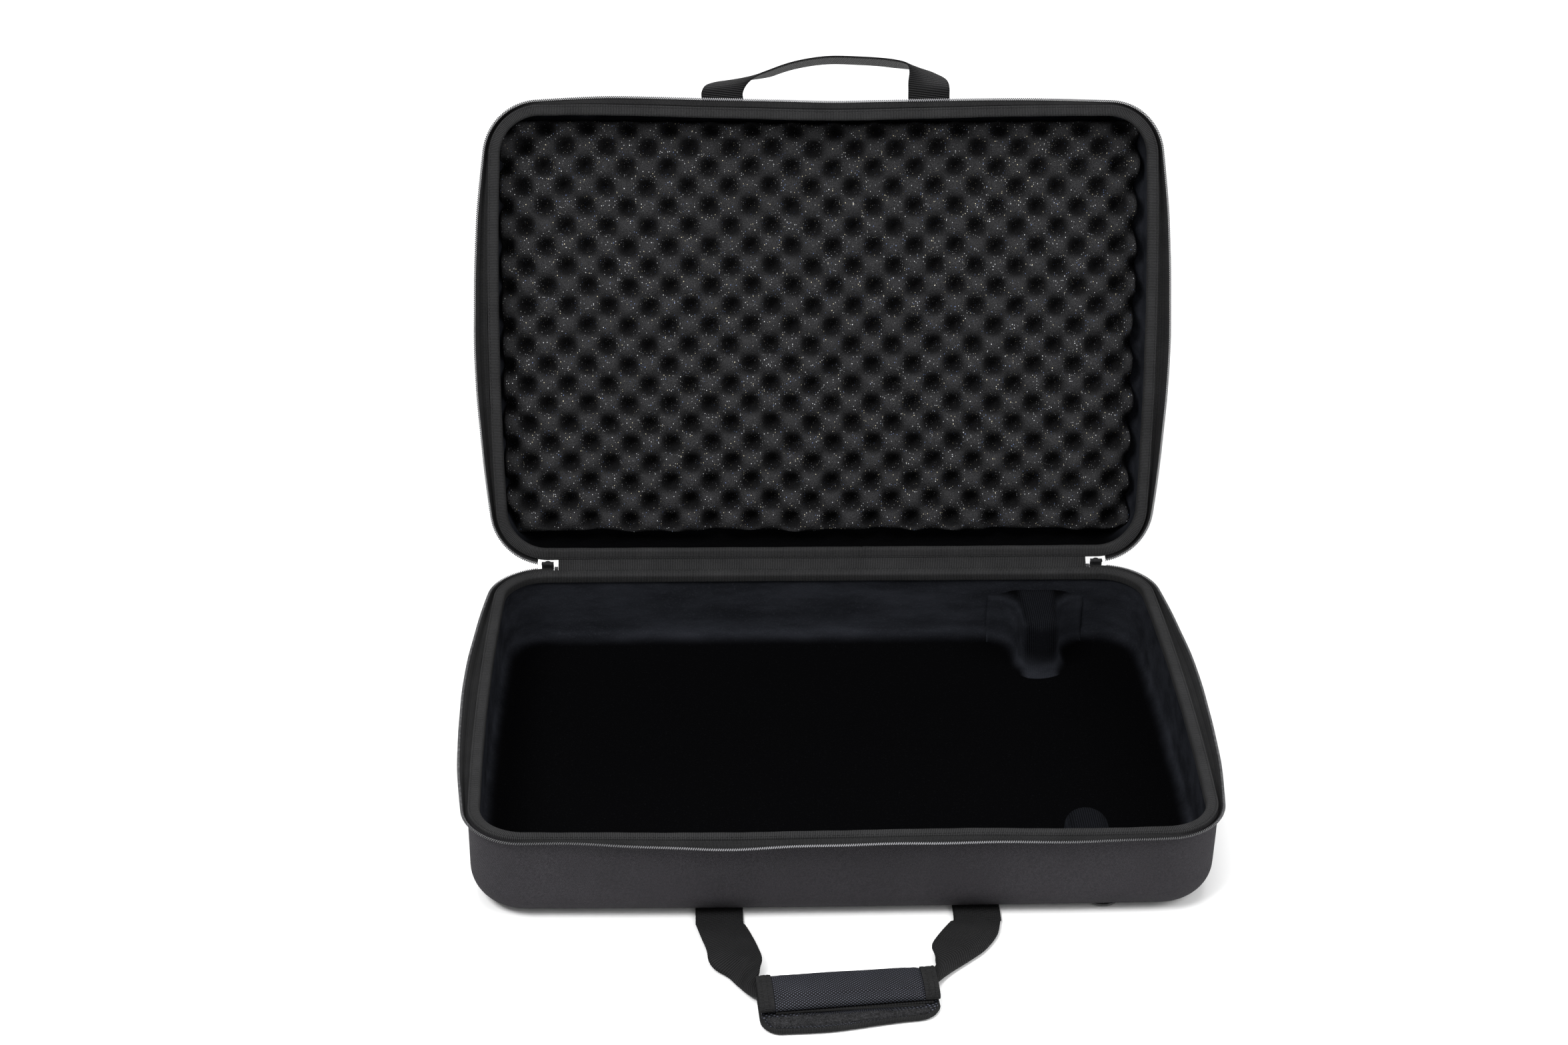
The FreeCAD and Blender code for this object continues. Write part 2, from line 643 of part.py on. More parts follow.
def nodes():
    base = BASE_HEIGHT
    lid = LID_HEIGHT
    return {
        "base_shell": base_shell(),
        "base_lining": tray_lining(base),
        "base_rim_binding": rim_binding(base),
        "base_zip_tape": zip_tape(base, STOP_END + 0.5),
        "base_zip_coil": zip_coil(base, ZIP_START),
        "hinge_leaf_base": hinge_leaf(base),
        "zip_stops": zip_stops(),
        "post_rear": locating_post(POST_REAR_TIP),
        "post_front": locating_post(POST_FRONT_TIP),
        "base_handle_anchors": sewn_ends(BASE_ROOTS, ANCHOR_SINK),
        "base_handle_stitching": group([stitched_patch(x, ANCHOR_SINK - STITCH) for x in BASE_ROOTS]),
        "d_ring_tabs": ring_tabs(),
        "d_ring_left": d_ring(-1, 1),
        "d_ring_right": d_ring(1, -1),
        "slider_left": slider(-1),
        "slider_right": slider(1),
        "pull_left": pull_tab(-1),
        "pull_right": pull_tab(1),
        "lid_shell": open_lid(tray_shell(lid)),
        "lid_lining": open_lid(tray_lining(lid)),
        "lid_rim_binding": open_lid(rim_binding(lid)),
        "lid_zip_tape": open_lid(zip_tape(lid, ZIP_START)),
        "lid_zip_coil": open_lid(zip_coil(lid, LID_COIL_START)),
        "hinge_leaf_lid": open_lid(hinge_leaf(lid)),
        "lid_foam_pad": open_lid(foam_pad()),
        "lid_handle_anchors": open_lid(sewn_ends(LID_ROOTS, -WEBBING_THICK)),
        "lid_handle_stitching": open_lid(
            group([stitched_patch(x, -WEBBING_THICK - STITCH) for x in LID_ROOTS])),
        "lid_handle_webbing": open_lid(lid_handle()),
        "base_handle_leg_left": handle_leg_left(),
        "base_handle_leg_right": handle_leg_right(),
        "grip_webbing_core": webbing_core(),
        "grip_lower_panel": lower_panel(),
        "grip_lower_binding": lower_binding(),
        "grip_loop_strip": loop_strip(),
        "grip_cover_panel": cover_panel(),
        "grip_cover_foam": cover_foam(),
        "grip_cover_bindings": cover_bindings(),
        "grip_hook_strip": hook_strip(),
    }


def main():
    os.makedirs("parts", exist_ok=True)
    for name, shape in nodes().items():
        print(name, shape.isValid(), len(shape.Solids), round(shape.Volume / 1000, 2))
        shape.exportStep("parts/" + name + ".step")


main()
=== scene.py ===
"""Visual model of the zipped hard-shell carry case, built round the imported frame.  Metres."""
import json
import math
from collections import namedtuple

import bpy
import numpy as np
from mathutils import Matrix, Vector


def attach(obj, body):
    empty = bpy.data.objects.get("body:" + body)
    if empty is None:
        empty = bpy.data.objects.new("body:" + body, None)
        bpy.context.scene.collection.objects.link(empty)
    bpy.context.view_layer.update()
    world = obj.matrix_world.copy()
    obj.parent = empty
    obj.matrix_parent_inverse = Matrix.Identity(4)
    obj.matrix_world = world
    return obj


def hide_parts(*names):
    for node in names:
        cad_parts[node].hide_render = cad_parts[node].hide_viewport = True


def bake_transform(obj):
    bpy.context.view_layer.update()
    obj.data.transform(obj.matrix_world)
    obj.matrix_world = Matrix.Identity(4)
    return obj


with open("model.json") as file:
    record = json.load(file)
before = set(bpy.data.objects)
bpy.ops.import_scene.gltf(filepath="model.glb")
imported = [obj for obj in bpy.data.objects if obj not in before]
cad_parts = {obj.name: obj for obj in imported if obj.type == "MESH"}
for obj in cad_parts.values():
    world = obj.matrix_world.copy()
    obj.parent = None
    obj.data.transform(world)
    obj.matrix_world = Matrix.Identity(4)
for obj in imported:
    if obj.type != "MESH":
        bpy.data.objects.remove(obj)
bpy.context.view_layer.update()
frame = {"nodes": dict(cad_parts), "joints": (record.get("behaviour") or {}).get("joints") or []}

MM = 0.001
TAU = 2 * math.pi
JOINTS = {joint["name"]: joint for joint in frame["joints"]}

# ---- driving dimensions, in millimetres, as the frame has them ------------------------------
HINGE = Vector(JOINTS["lid_hinge"]["pos_m"]) / MM
RING_BAR = Vector(JOINTS["d_ring_left_swing"]["pos_m"]) / MM
LID_OPEN = math.radians(106.96)
BASE_HEIGHT = HINGE.z
LID_HEIGHT = 49.5
WALL = 4.5
BOTTOM = 5.5
LINING = 1.2
EDGE_FILLET = 22.0
LINING_FILLET = 13.0
BINDING_WIDTH = 8.0
BINDING_HEIGHT = 6.0
COIL_WIDTH = 2.2
COIL_PITCH = 1.45
WEBBING = 31.0
WEBBING_THICK = 1.6
LID_ROOTS = (-74.0, 80.0)
POST_X = 161.0
BASE_ROOTS = (-82.0, 86.0)
GRIP_HALF = 56.5
GRIP_TILT = math.radians(4.0)
GRIP_CENTRE = np.array([-3.0, -253.4, 0.0])

# ---- outlines -------------------------------------------------------------------------------
Outline = namedtuple("Outline", "half_x front rear arc_x arc_front arc_rear corner")


def bow_radius(half_length, bow):
    return (half_length ** 2 + bow ** 2) / (2 * bow)


def make_outline(half_x, front, rear, corner, bow_x, bow_front, bow_rear):
    """A rounded rectangle whose sides are large arcs that rise by their bow."""
    arc_x = bow_radius((front + rear) / 2 - corner, bow_x)
    arc_front = bow_radius(half_x - corner, bow_front)
    arc_rear = bow_radius(half_x - corner, bow_rear)
    return Outline(half_x, front, rear, arc_x, arc_front, arc_rear, corner)


def corner_centre(shape, depth, arc_y):
    x = shape.half_x - shape.corner
    y = depth - shape.corner
    for _ in range(30):
        x = shape.half_x - shape.arc_x + math.sqrt((shape.arc_x - shape.corner) ** 2 - y ** 2)
        y = depth - arc_y + math.sqrt((arc_y - shape.corner) ** 2 - x ** 2)
    return np.array([x, y])


def outline_arcs(shape):
    """The outline's arcs as (centre, radius, first angle, last angle), from the rear's middle."""
    rear = corner_centre(shape, shape.rear, shape.arc_rear)
    front = corner_centre(shape, shape.front, shape.arc_front)
    side_x = shape.half_x - shape.arc_x
    rear_mid = np.array([0, shape.rear - shape.arc_rear])
    front_mid = np.array([0, shape.front - shape.arc_front])
    rear_turn = math.atan2(rear[0], rear[1] - rear_mid[1])
    front_turn = math.atan2(front[0], front[1] - front_mid[1])
    side_rear = math.atan2(rear[1], rear[0] - side_x)
    side_front = math.atan2(front[1], front[0] - side_x)
    quarter = math.pi / 2
    flip_x = np.array([-1, 1])
    flip_y = np.array([1, -1])
    return [
        (rear_mid, shape.arc_rear, quarter, quarter + rear_turn),
        (rear * flip_x, shape.corner, quarter + rear_turn, math.pi - side_rear),
        (np.array([-side_x, 0]), shape.arc_x, math.pi - side_rear, math.pi + side_front),
        (front * flip_x * flip_y, shape.corner, math.pi + side_front, 3 * quarter - front_turn),
        (front_mid * flip_y, shape.arc_front, 3 * quarter - front_turn, 3 * quarter + front_turn),
        (front * flip_y, shape.corner, 3 * quarter + front_turn, TAU - side_front),
        (np.array([side_x, 0]), shape.arc_x, TAU - side_front, TAU + side_rear),
        (rear, shape.corner, TAU + side_rear, TAU + quarter - rear_turn),
        (rear_mid, shape.arc_rear, TAU + quarter - rear_turn, TAU + quarter),
    ]


ARC_STEPS = (70, 24, 96, 24, 150, 24, 96, 24, 70)


def sample_outline(shape, refine=1):
    """Points and outward normals round the outline, at the same share of each arc on any outline."""
    points = []
    normals = []
    for (centre, radius, first, last), steps in zip(outline_arcs(shape), ARC_STEPS):
        for step in range(steps * refine):
            angle = first + (last - first) * step / (steps * refine)
            normal = np.array([math.cos(angle), math.sin(angle)])
            points.append(centre + radius * normal)
            normals.append(normal)
    return np.array(points), np.array(normals)


SHELL = make_outline(248.0, 171.5, 169.0, 38.0, 3.0, 1.5, 0.3)
ZIP = make_outline(259.0, 180.0, 173.6, 43.0, 9.0, 6.5, 0.4)


def ring_length(points):
    """Distance along a closed ring up to each of its points, and once round."""
    steps = np.linalg.norm(np.roll(points, -1, axis=0) - points, axis=1)
    return np.concatenate([[0], np.cumsum(steps)])


def waves(position, terms):
    """A sum of sines of (height, wavelength, phase)."""
    total = np.zeros_like(position, dtype=float)
    for height, length, phase in terms:
        total = total + height * np.sin(TAU * position / length + phase)
    return total


# ---- from a tray's own frame to the row frame -------------------------------------------------


def turned_lid(points):
    points = np.asarray(points, float)
    y = points[..., 1] - HINGE.y
    z = LID_HEIGHT - points[..., 2]
    cos, sin = math.cos(-LID_OPEN), math.sin(-LID_OPEN)
    turned = np.empty_like(points)
    turned[..., 0] = points[..., 0]
    turned[..., 1] = HINGE.y + y * cos - z * sin
    turned[..., 2] = HINGE.z + y * sin + z * cos
    return turned


def bent_front(points, knots, offsets):
    """Moves a tray's front wall in and out, most at its rim, as a soft case bends."""
    points = np.array(points, float)
    reach = np.clip((-points[..., 1] - 90) / 75, 0, 1)
    rise = np.clip(points[..., 2] / 45, 0, 1)
    along = np.interp(points[..., 0], knots, offsets)
    points[..., 1] += along * reach * reach * (3 - 2 * reach) * rise
    return points


def smooth_bend(knots, offsets):
    x = np.linspace(-250, 250, 101)
    y = np.interp(x, knots, offsets)
    kernel = np.hanning(15) / np.hanning(15).sum()
    return x, np.convolve(np.pad(y, 7, mode="edge"), kernel, "valid")


BASE_BEND = smooth_bend((-200, -150, -83, 0, 74, 120, 158, 200), (0, -0.4, -1.2, 0.4, 1.6, 0.2, -1.2, 0))
LID_BEND = smooth_bend((-230, -160, -90, 6, 80, 140, 230), (0, 0.4, 3.0, 5.6, 3.6, 1.6, 0))


def as_base(points):
    return bent_front(points, *BASE_BEND)


def as_lid(points):
    """Turns a tray that lies on its big face over, onto the zip line, and opens it."""
    return turned_lid(bent_front(points, *LID_BEND))


# ---- mesh helpers ---------------------------------------------------------------------------


def add_object(name, points, faces, uvs=None, smooth=True):
    """A mesh object from points in millimetres; uvs are per face corner, in metres."""
    mesh = bpy.data.meshes.new(name)
    mesh.from_pydata((np.asarray(points) * MM).tolist(), [], [list(map(int, face)) for face in faces])
    if uvs is not None:
        layer = mesh.uv_layers.new(name="weave")
        layer.data.foreach_set("uv", np.asarray(uvs, np.float32).ravel())
    if smooth:
        mesh.polygons.foreach_set("use_smooth", [True] * len(mesh.polygons))
    mesh.validate()
    made = bpy.data.objects.new(name, mesh)
    bpy.context.scene.collection.objects.link(made)
    return made


def grid_faces(rows, columns, wrap_rows=False, wrap_columns=False, flip=False):
    """Quads of a grid whose points are numbered row by row, and their grid corners."""
    row_count = rows if wrap_rows else rows - 1
    column_count = columns if wrap_columns else columns - 1
    row, column = np.meshgrid(np.arange(row_count), np.arange(column_count), indexing="ij")
    row, column = row.ravel(), column.ravel()
    corners = [(row, column), (row, column + 1), (row + 1, column + 1), (row + 1, column)]
    if flip:
        corners.reverse()
    faces = np.stack([(r % rows) * columns + (c % columns) for r, c in corners], axis=1)
    grid = np.stack([np.stack([r, c], axis=1) for r, c in corners], axis=1)
    return faces, grid


def grid_object(name, points, wrap_rows=False, wrap_columns=False, flip=False, caps=False, place=as_base):
    """A smooth quad mesh from a grid of points, with its weave map measured along both ways."""
    points = np.asarray(points, float)
    rows, columns = points.shape[:2]
    faces, grid = grid_faces(rows, columns, wrap_rows, wrap_columns, flip)
    across = np.linalg.norm(np.diff(points, axis=0, append=points[:1]), axis=2).mean(axis=1)
    along = np.linalg.norm(np.diff(points, axis=1, append=points[:, :1]), axis=2).mean(axis=0)
    v = np.concatenate([[0], np.cumsum(across)]) * MM
    u = np.concatenate([[0], np.cumsum(along)]) * MM
    uvs = np.stack([u[grid[..., 1]], v[grid[..., 0]]], axis=2)
    face_list = faces.tolist()
    uv_list = uvs.reshape(-1, 2)
    if caps:
        first = list(range(0, rows * columns, columns))
        last = list(range(columns - 1, rows * columns, columns))
        face_list += [first if flip else first[::-1], last[::-1] if flip else last]
        uv_list = np.concatenate([uv_list, np.zeros((2 * rows, 2))])
    return add_object(name, place(points).reshape(-1, 3), face_list, uv_list)


def modifier(thing, kind, **settings):
    made = thing.modifiers.new(kind.lower(), kind)
    for key, value in settings.items():
        setattr(made, key, value)
    return made


def finish_piece(thing, body, material, replaces=()):
    """Gives a piece its material, slot and body."""
    thing.data.materials.clear()
    thing.data.materials.append(material)
    if body:
        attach(thing, body)
    if replaces:
        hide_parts(*replaces)
    return thing


# ---- materials --------------------------------------------------------------------------------


class Surface:
    """A node material built step by step; plain numbers go straight onto sockets."""

    def __init__(self, name):
        self.material = bpy.data.materials.new(name)
        self.material.use_nodes = True
        self.tree = self.material.node_tree
        self.shader = self.tree.nodes["Principled BSDF"]
        self.weave = None

    def node(self, kind, settings=None, **inputs):
        made = self.tree.nodes.new(kind)
        for key, value in (settings or {}).items():
            setattr(made, key, value)
        for key, value in inputs.items():
            self.set(made.inputs[int(key[1:])] if key[1:].isdigit() else made.inputs[key], value)
        return made

    def set(self, socket, value):
        if isinstance(value, bpy.types.NodeSocket):
            self.tree.links.new(value, socket)
        else:
            socket.default_value = value

    def math(self, operation, first, second=0.0, third=0.0):
        made = self.node("ShaderNodeMath", {"operation": operation}, _0=first, _1=second, _2=third)
        return made.outputs[0]

    def mix(self, share, first, second):
        made = self.node("ShaderNodeMix", {"data_type": "RGBA"})
        self.set(made.inputs[0], share)
        self.set(made.inputs[6], first)
        self.set(made.inputs[7], second)
        return made.outputs[2]

    def ramp(self, value, low, high, to_low=0.0, to_high=1.0):
        made = self.node("ShaderNodeMapRange", {"interpolation_type": "SMOOTHSTEP"},
                         _0=value, _1=low, _2=high, _3=to_low, _4=to_high)
        return made.outputs[0]

    def place(self):
        """Position in metres on the object itself."""
        return self.node("ShaderNodeTexCoord").outputs["Object"]

    def cloth_uv(self):
        """(along, across) in metres from the weave map."""
        if self.weave is None:
            where = self.node("ShaderNodeUVMap", {"uv_map": "weave"}).outputs[0]
            parts = self.node("ShaderNodeSeparateXYZ", _0=where)
            self.weave = (parts.outputs[0], parts.outputs[1])
        return self.weave

    def noise(self, size, detail=3.0, rough=0.55, where=None):
        made = self.node("ShaderNodeTexNoise")
        self.set(made.inputs["Vector"], where if where is not None else self.place())
        self.set(made.inputs["Scale"], 1000.0 / size)
        self.set(made.inputs["Detail"], detail)
        self.set(made.inputs["Roughness"], rough)
        return made.outputs[0]

    def stripes(self, position, pitch, shift=0.0):
        """0 to 1 ridges, one per pitch in millimetres."""
        turned = self.math("MULTIPLY_ADD", position, TAU * 1000.0 / pitch, shift)
        return self.math("MULTIPLY_ADD", self.math("SINE", turned), 0.5, 0.5)

    def bump(self, heights, distance, strength=1.0):
        """Sums (height, weight) pairs into the shader's normal."""
        total = None
        for height, weight in heights:
            part = self.math("MULTIPLY", height, weight)
            total = part if total is None else self.math("ADD", total, part)
        made = self.node("ShaderNodeBump", Height=total, Distance=distance * MM, Strength=strength)
        self.set(self.shader.inputs["Normal"], made.outputs[0])

    def finish(self, **sockets):
        names = {"color": "Base Color", "roughness": "Roughness",
                 "sheen": "Sheen Weight", "specular": "Specular IOR Level"}
        for key, value in sockets.items():
            self.set(self.shader.inputs[names[key]], value)
        return self.material


def grey(value, blue=1.0):
    return (value, value, value * blue, 1.0)


def twill_material():
    """Fine twill bonded to the shell: diagonal ridges, lint and slight rubbing."""
    s = Surface("shell_twill")
    along, across = s.cloth_uv()
    diagonal = s.math("ADD", along, across)
    counter = s.math("SUBTRACT", along, across)
    ridge = s.stripes(diagonal, 1.15)
    cut = s.stripes(counter, 0.9)
    weave = s.math("MULTIPLY", ridge, s.math("MULTIPLY_ADD", cut, 0.6, 0.4))
    grain = s.noise(1.1, 2.0)
    cloud = s.noise(45, 3.0)
    tone = s.math("ADD", s.math("MULTIPLY", weave, 0.45), s.math("MULTIPLY", grain, 0.55))
    color = s.mix(tone, (0.0045, 0.0042, 0.0048, 1), (0.064, 0.061, 0.068, 1))
    color = s.mix(s.ramp(cloud, 0.35, 0.7, 0.0, 0.25), color, (0.018, 0.0173, 0.019, 1))
    s.bump([(weave, 0.8), (grain, 0.5)], 0.22, 0.9)
    return s.finish(color=color, roughness=0.85, sheen=0.01, specular=0.06)


def velvet_material(name, stretched_over=False):
    """Short dark pile, blacker on the floor by painted shade: brushed patches and fine fibres."""
    s = Surface(name)
    where = s.place()
    stretched = s.node("ShaderNodeMapping", _0=where)
    stretched.inputs["Scale"].default_value = (0.35, 1.0, 1.4)
    nap = s.noise(26, 4.0, 0.6, stretched.outputs[0])
    fibre = s.noise(1.3, 2.0, 0.7)
    lint = s.noise(4.5, 2.0, 0.6)
    upright = s.node("ShaderNodeSeparateXYZ", _0=s.node("ShaderNodeTexCoord").outputs["Normal"]).outputs[2]
    # Painted shade: faces that point up (the floor) take the near-black colour below, and walls keep the lighter
    # velvet.
    lit_wall_share = s.ramp(upright, 0.95, 0.3)
    color = s.mix(s.ramp(nap, 0.3, 0.75), (0.0085, 0.0092, 0.0115, 1), (0.019, 0.0205, 0.0255, 1))
    color = s.mix(s.ramp(fibre, 0.5, 0.85, 0.0, 0.45), color, (0.032, 0.034, 0.041, 1))
    # near-black colour of the floor's painted shade
    flat = s.mix(s.ramp(fibre, 0.55, 0.9, 0.0, 0.5), (0.0008, 0.0008, 0.001, 1), (0.0065, 0.0067, 0.0078, 1))
    if stretched_over:
        parts = s.node("ShaderNodeSeparateXYZ", _0=where)
        beside = s.math("ABSOLUTE", s.math("SUBTRACT", parts.outputs[0], POST_X * MM))
        column = s.ramp(beside, 0.009, 0.016, 1.0, 0.0)
        rib = s.stripes(s.math("MULTIPLY_ADD", parts.outputs[2], 0.06, parts.outputs[0]), 1.5)
        # Painted shade on the post: its column is darker than the wall, darkest up its top and lighter towards its
        # foot; the stripes are the stretched lining's ribs.
        post_painted_shade = s.mix(s.ramp(rib, 0.2, 0.9, 0.0, 0.6), (0.0022, 0.0024, 0.003, 1), (0.0075, 0.008, 0.01, 1))
        post_painted_shade = s.mix(s.ramp(fibre, 0.5, 0.85, 0.0, 0.3), post_painted_shade, (0.014, 0.015, 0.018, 1))
        post_painted_shade = s.mix(s.ramp(parts.outputs[2], 0.01, 0.026, 0.75, 0.0), post_painted_shade, color)
        color = s.mix(column, s.mix(lit_wall_share, flat, color), post_painted_shade)
        held = s.math("MULTIPLY", column, rib)
        s.bump([(held, 0.5), (fibre, 0.7), (lint, 0.4)], 0.25, 0.7)
    else:
        color = s.mix(lit_wall_share, flat, color)
        s.bump([(fibre, 0.8), (lint, 0.5), (nap, 0.6)], 0.5, 0.7)
    return s.finish(color=color, roughness=0.95, specular=0.015)


def ribbed_material(name, pitch, dark, light, column=0.62):
    """Ribbed tape: ribs run across its width, with thread ends along each rib."""
    s = Surface(name)
    along, across = s.cloth_uv()
    rib = s.stripes(along, pitch)
    thread = s.stripes(across, column)
    grain = s.noise(0.9, 2.0)
    cloud = s.noise(18, 2.0)
    weave = s.math("MULTIPLY", rib, s.math("MULTIPLY_ADD", thread, 0.45, 0.55))
    tone = s.math("ADD", s.math("MULTIPLY", weave, 0.6), s.math("MULTIPLY", grain, 0.35))
    tone = s.math("ADD", tone, s.math("MULTIPLY_ADD", cloud, 0.25, -0.12))
    color = s.mix(tone, grey(dark, 1.03), grey(light, 1.03))
    s.bump([(weave, 1.0), (grain, 0.3)], 0.22, 0.8)
    return s.finish(color=color, roughness=0.8, sheen=0.01, specular=0.06)


def webbing_material():
    """Polyester webbing: steep ribs across, a herringbone turn along its length, woven edges."""
    s = Surface("webbing")
    along, across = s.cloth_uv()
    lean = s.math("MULTIPLY_ADD", across, 0.12, along)
    rib = s.stripes(lean, 1.7)
    column = s.stripes(across, 1.3)
    grain = s.noise(0.8, 2.0)
    cloud = s.noise(22, 2.0)
    weave = s.math("MULTIPLY", rib, s.math("MULTIPLY_ADD", column, 0.4, 0.6))
    tone = s.math("MULTIPLY_ADD", grain, 0.3, s.math("MULTIPLY", weave, 0.7))
    tone = s.math("ADD", tone, s.math("MULTIPLY_ADD", cloud, 0.3, -0.15))
    color = s.mix(tone, grey(0.0004, 1.05), grey(0.019, 1.05))
    s.bump([(weave, 1.0), (grain, 0.25)], 0.5, 1.0)
    return s.finish(color=color, roughness=0.6, sheen=0.01, specular=0.1)


def ballistic_material():
    """Coarse basket weave whose thread tops carry a painted blue-grey highlight."""
    s = Surface("grip_nylon")
    along, across = s.cloth_uv()
    first = s.stripes(along, 1.9)
    second = s.stripes(across, 2.5)
    shifted_a = s.stripes(along, 1.9, math.pi)
    shifted_b = s.stripes(across, 2.5, math.pi)
    tops = s.math("MAXIMUM", s.math("MULTIPLY", first, second), s.math("MULTIPLY", shifted_a, shifted_b))
    fibre = s.stripes(along, 0.24)
    grain = s.noise(0.7, 2.0)
    cloud = s.noise(30, 2.0)
    # Painted highlight: the thread tops are painted bright blue-grey over near-black nylon.
    tone = s.ramp(tops, 0.45, 1.0)
    tone = s.math("MULTIPLY", tone, s.math("MULTIPLY_ADD", cloud, 0.9, 0.3))
    color = s.mix(tone, (0.0006, 0.0008, 0.0016, 1), (0.075, 0.08, 0.108, 1))
    s.bump([(tops, 1.0), (fibre, 0.12), (grain, 0.12)], 0.42, 0.9)
    return s.finish(color=color, roughness=s.ramp(tops, 0.3, 0.9, 0.7, 0.45), specular=0.2)


def foam_material():
    """Open-cell foam: pores, cell walls, painted shade in its pits and fine coloured specks painted as glints."""
    s = Surface("foam")
    where = s.place()
    cells = s.node("ShaderNodeTexVoronoi", {"feature": "F1"})
    s.set(cells.inputs["Vector"], where)
    s.set(cells.inputs["Scale"], 1000.0 / 1.25)
    grain = s.noise(0.8, 3.0, 0.7)
    cloud = s.noise(30, 2.0)
    color = s.mix(s.ramp(grain, 0.25, 0.8), grey(0.008, 1.06), grey(0.042, 1.05))
    color = s.mix(s.ramp(cloud, 0.3, 0.75, 0.0, 0.25), color, grey(0.018, 1.05))
    # Painted shade: the foam's low parts, its pits, are darkened by their height, which the weave map's first
    # coordinate holds.
    depth, _ = s.cloth_uv()
    color = s.mix(s.ramp(depth, 0.0175, 0.0252, 0.72, 0.0), color, grey(0.002, 1.1))
    # Painted glints: fine bright specks of white, blue and yellow.
    glint_specks = s.node("ShaderNodeTexVoronoi", {"feature": "F1"})
    s.set(glint_specks.inputs["Vector"], where)
    s.set(glint_specks.inputs["Scale"], 1000.0 / 1.4)
    parts = s.node("ShaderNodeSeparateColor", _0=glint_specks.outputs["Color"])
    size = s.ramp(parts.outputs[0], 0.35, 1.0, 0.0, 0.24)
    hit = s.math("LESS_THAN", glint_specks.outputs["Distance"], size)
    tint = s.mix(s.ramp(parts.outputs[1], 0.45, 0.55), (0.35, 0.5, 0.95, 1), (0.9, 0.82, 0.6, 1))
    tint = s.mix(s.math("GREATER_THAN", parts.outputs[2], 0.35), tint, (0.85, 0.87, 0.9, 1))
    power = s.math("MULTIPLY", hit, s.math("MULTIPLY_ADD", parts.outputs[1], 0.7, 0.2))
    # Painted shade: the glints dim in the pits.
    power = s.math("MULTIPLY", power, s.ramp(depth, 0.013, 0.024, 0.25, 1.0))
    color = s.mix(power, color, tint)
    s.bump([(cells.outputs["Distance"], 0.8), (grain, 0.7)], 0.7, 0.9)
    return s.finish(color=color, roughness=0.95, specular=0.03)


def plastic_material(name, value, roughness, size, highlight_gain=1.0):
    """Black nylon or painted metal with faint scuffs; along its middle (x near 0) the colour is raised by
    highlight_gain as a painted highlight.
    """
    s = Surface(name)
    scuff = s.noise(size, 4.0, 0.65)
    fine = s.noise(0.5, 2.0)
    color = s.mix(s.ramp(scuff, 0.5, 0.8, 0.0, 0.5), grey(value, 1.05), grey(value * 2.2, 1.05))
    middle = s.math("ABSOLUTE", s.node("ShaderNodeSeparateXYZ", _0=s.place()).outputs[0])
    # Painted highlight: near the case's middle, x near 0, the colour becomes value times highlight_gain.
    color = s.mix(s.ramp(middle, 0.04, 0.2, 1.0, 0.0), color, grey(value * highlight_gain, 1.05))
    s.bump([(scuff, 0.5), (fine, 0.3)], 0.05, 0.5)
    return s.finish(color=color, roughness=s.ramp(scuff, 0.3, 0.8, roughness, roughness + 0.2), specular=0.5)


def fuzz_material():
    """Loop pile: tangled matt fibres."""
    s = Surface("hook_loop")
    tangle = s.noise(0.9, 4.0, 0.75)
    patch = s.noise(4, 2.0)
    color = s.mix(s.ramp(tangle, 0.3, 0.75), grey(0.004, 1.1), grey(0.06, 1.08))
    color = s.mix(s.ramp(patch, 0.4, 0.7, 0.0, 0.5), color, grey(0.01, 1.05))
    s.bump([(tangle, 1.0)], 0.6, 1.0)
    return s.finish(color=color, roughness=0.9, sheen=0.05, specular=0.06)


def floor_material():
    s = Surface("studio_floor")
    return s.finish(color=(0.93, 0.93, 0.93, 1), roughness=0.85, specular=0.1)


TWILL = twill_material()
VELVET = velvet_material("velvet_lining")
POST_VELVET = velvet_material("post_velvet", True)
BINDING = ribbed_material("binding", 1.15, 0.001, 0.043)
TAPE = ribbed_material("zip_tape", 0.9, 0.001, 0.027, column=1.1)
HINGE_CLOTH = ribbed_material("hinge_fabric", 1.3, 0.001, 0.035)
PIPING = ribbed_material("grip_binding", 1.0, 0.001, 0.03, column=0.9)
WEB = webbing_material()
NYLON = ballistic_material()
FOAM = foam_material()
# The zip coil carries a painted highlight, four times paler along the case's middle.
COIL = plastic_material("zip_coil", 0.055, 0.18, 3, highlight_gain=4.0)
THREAD = ribbed_material("thread", 0.5, 0.008, 0.035)
METAL = plastic_material("slider_metal", 0.02, 0.12, 2)
FUZZ = fuzz_material()
HOOKS = plastic_material("hook_tape", 0.002, 0.6, 1)

# ---- stitches ----------------------------------------------------------------------------------


def resample(path, pitch, closed=False):
    """Even steps along a polyline: points and directions."""
    path = np.asarray(path, float)
    if closed:
        path = np.concatenate([path, path[:1]])
    reach = np.concatenate([[0], np.cumsum(np.linalg.norm(np.diff(path, axis=0), axis=1))])
    count = max(2, int(round(reach[-1] / pitch)))
    wanted = (np.arange(count) + 0.5) * reach[-1] / count
    points = np.stack([np.interp(wanted, reach, path[:, k]) for k in range(3)], axis=1)
    ahead = np.stack([np.interp(wanted + 0.2, reach, path[:, k]) for k in range(3)], axis=1)
    behind = np.stack([np.interp(wanted - 0.2, reach, path[:, k]) for k in range(3)], axis=1)
    run = ahead - behind
    run /= np.linalg.norm(run, axis=1)[:, None] + 1e-12
    return points, run


STITCH_RINGS = 5
STITCH_SIDES = 6


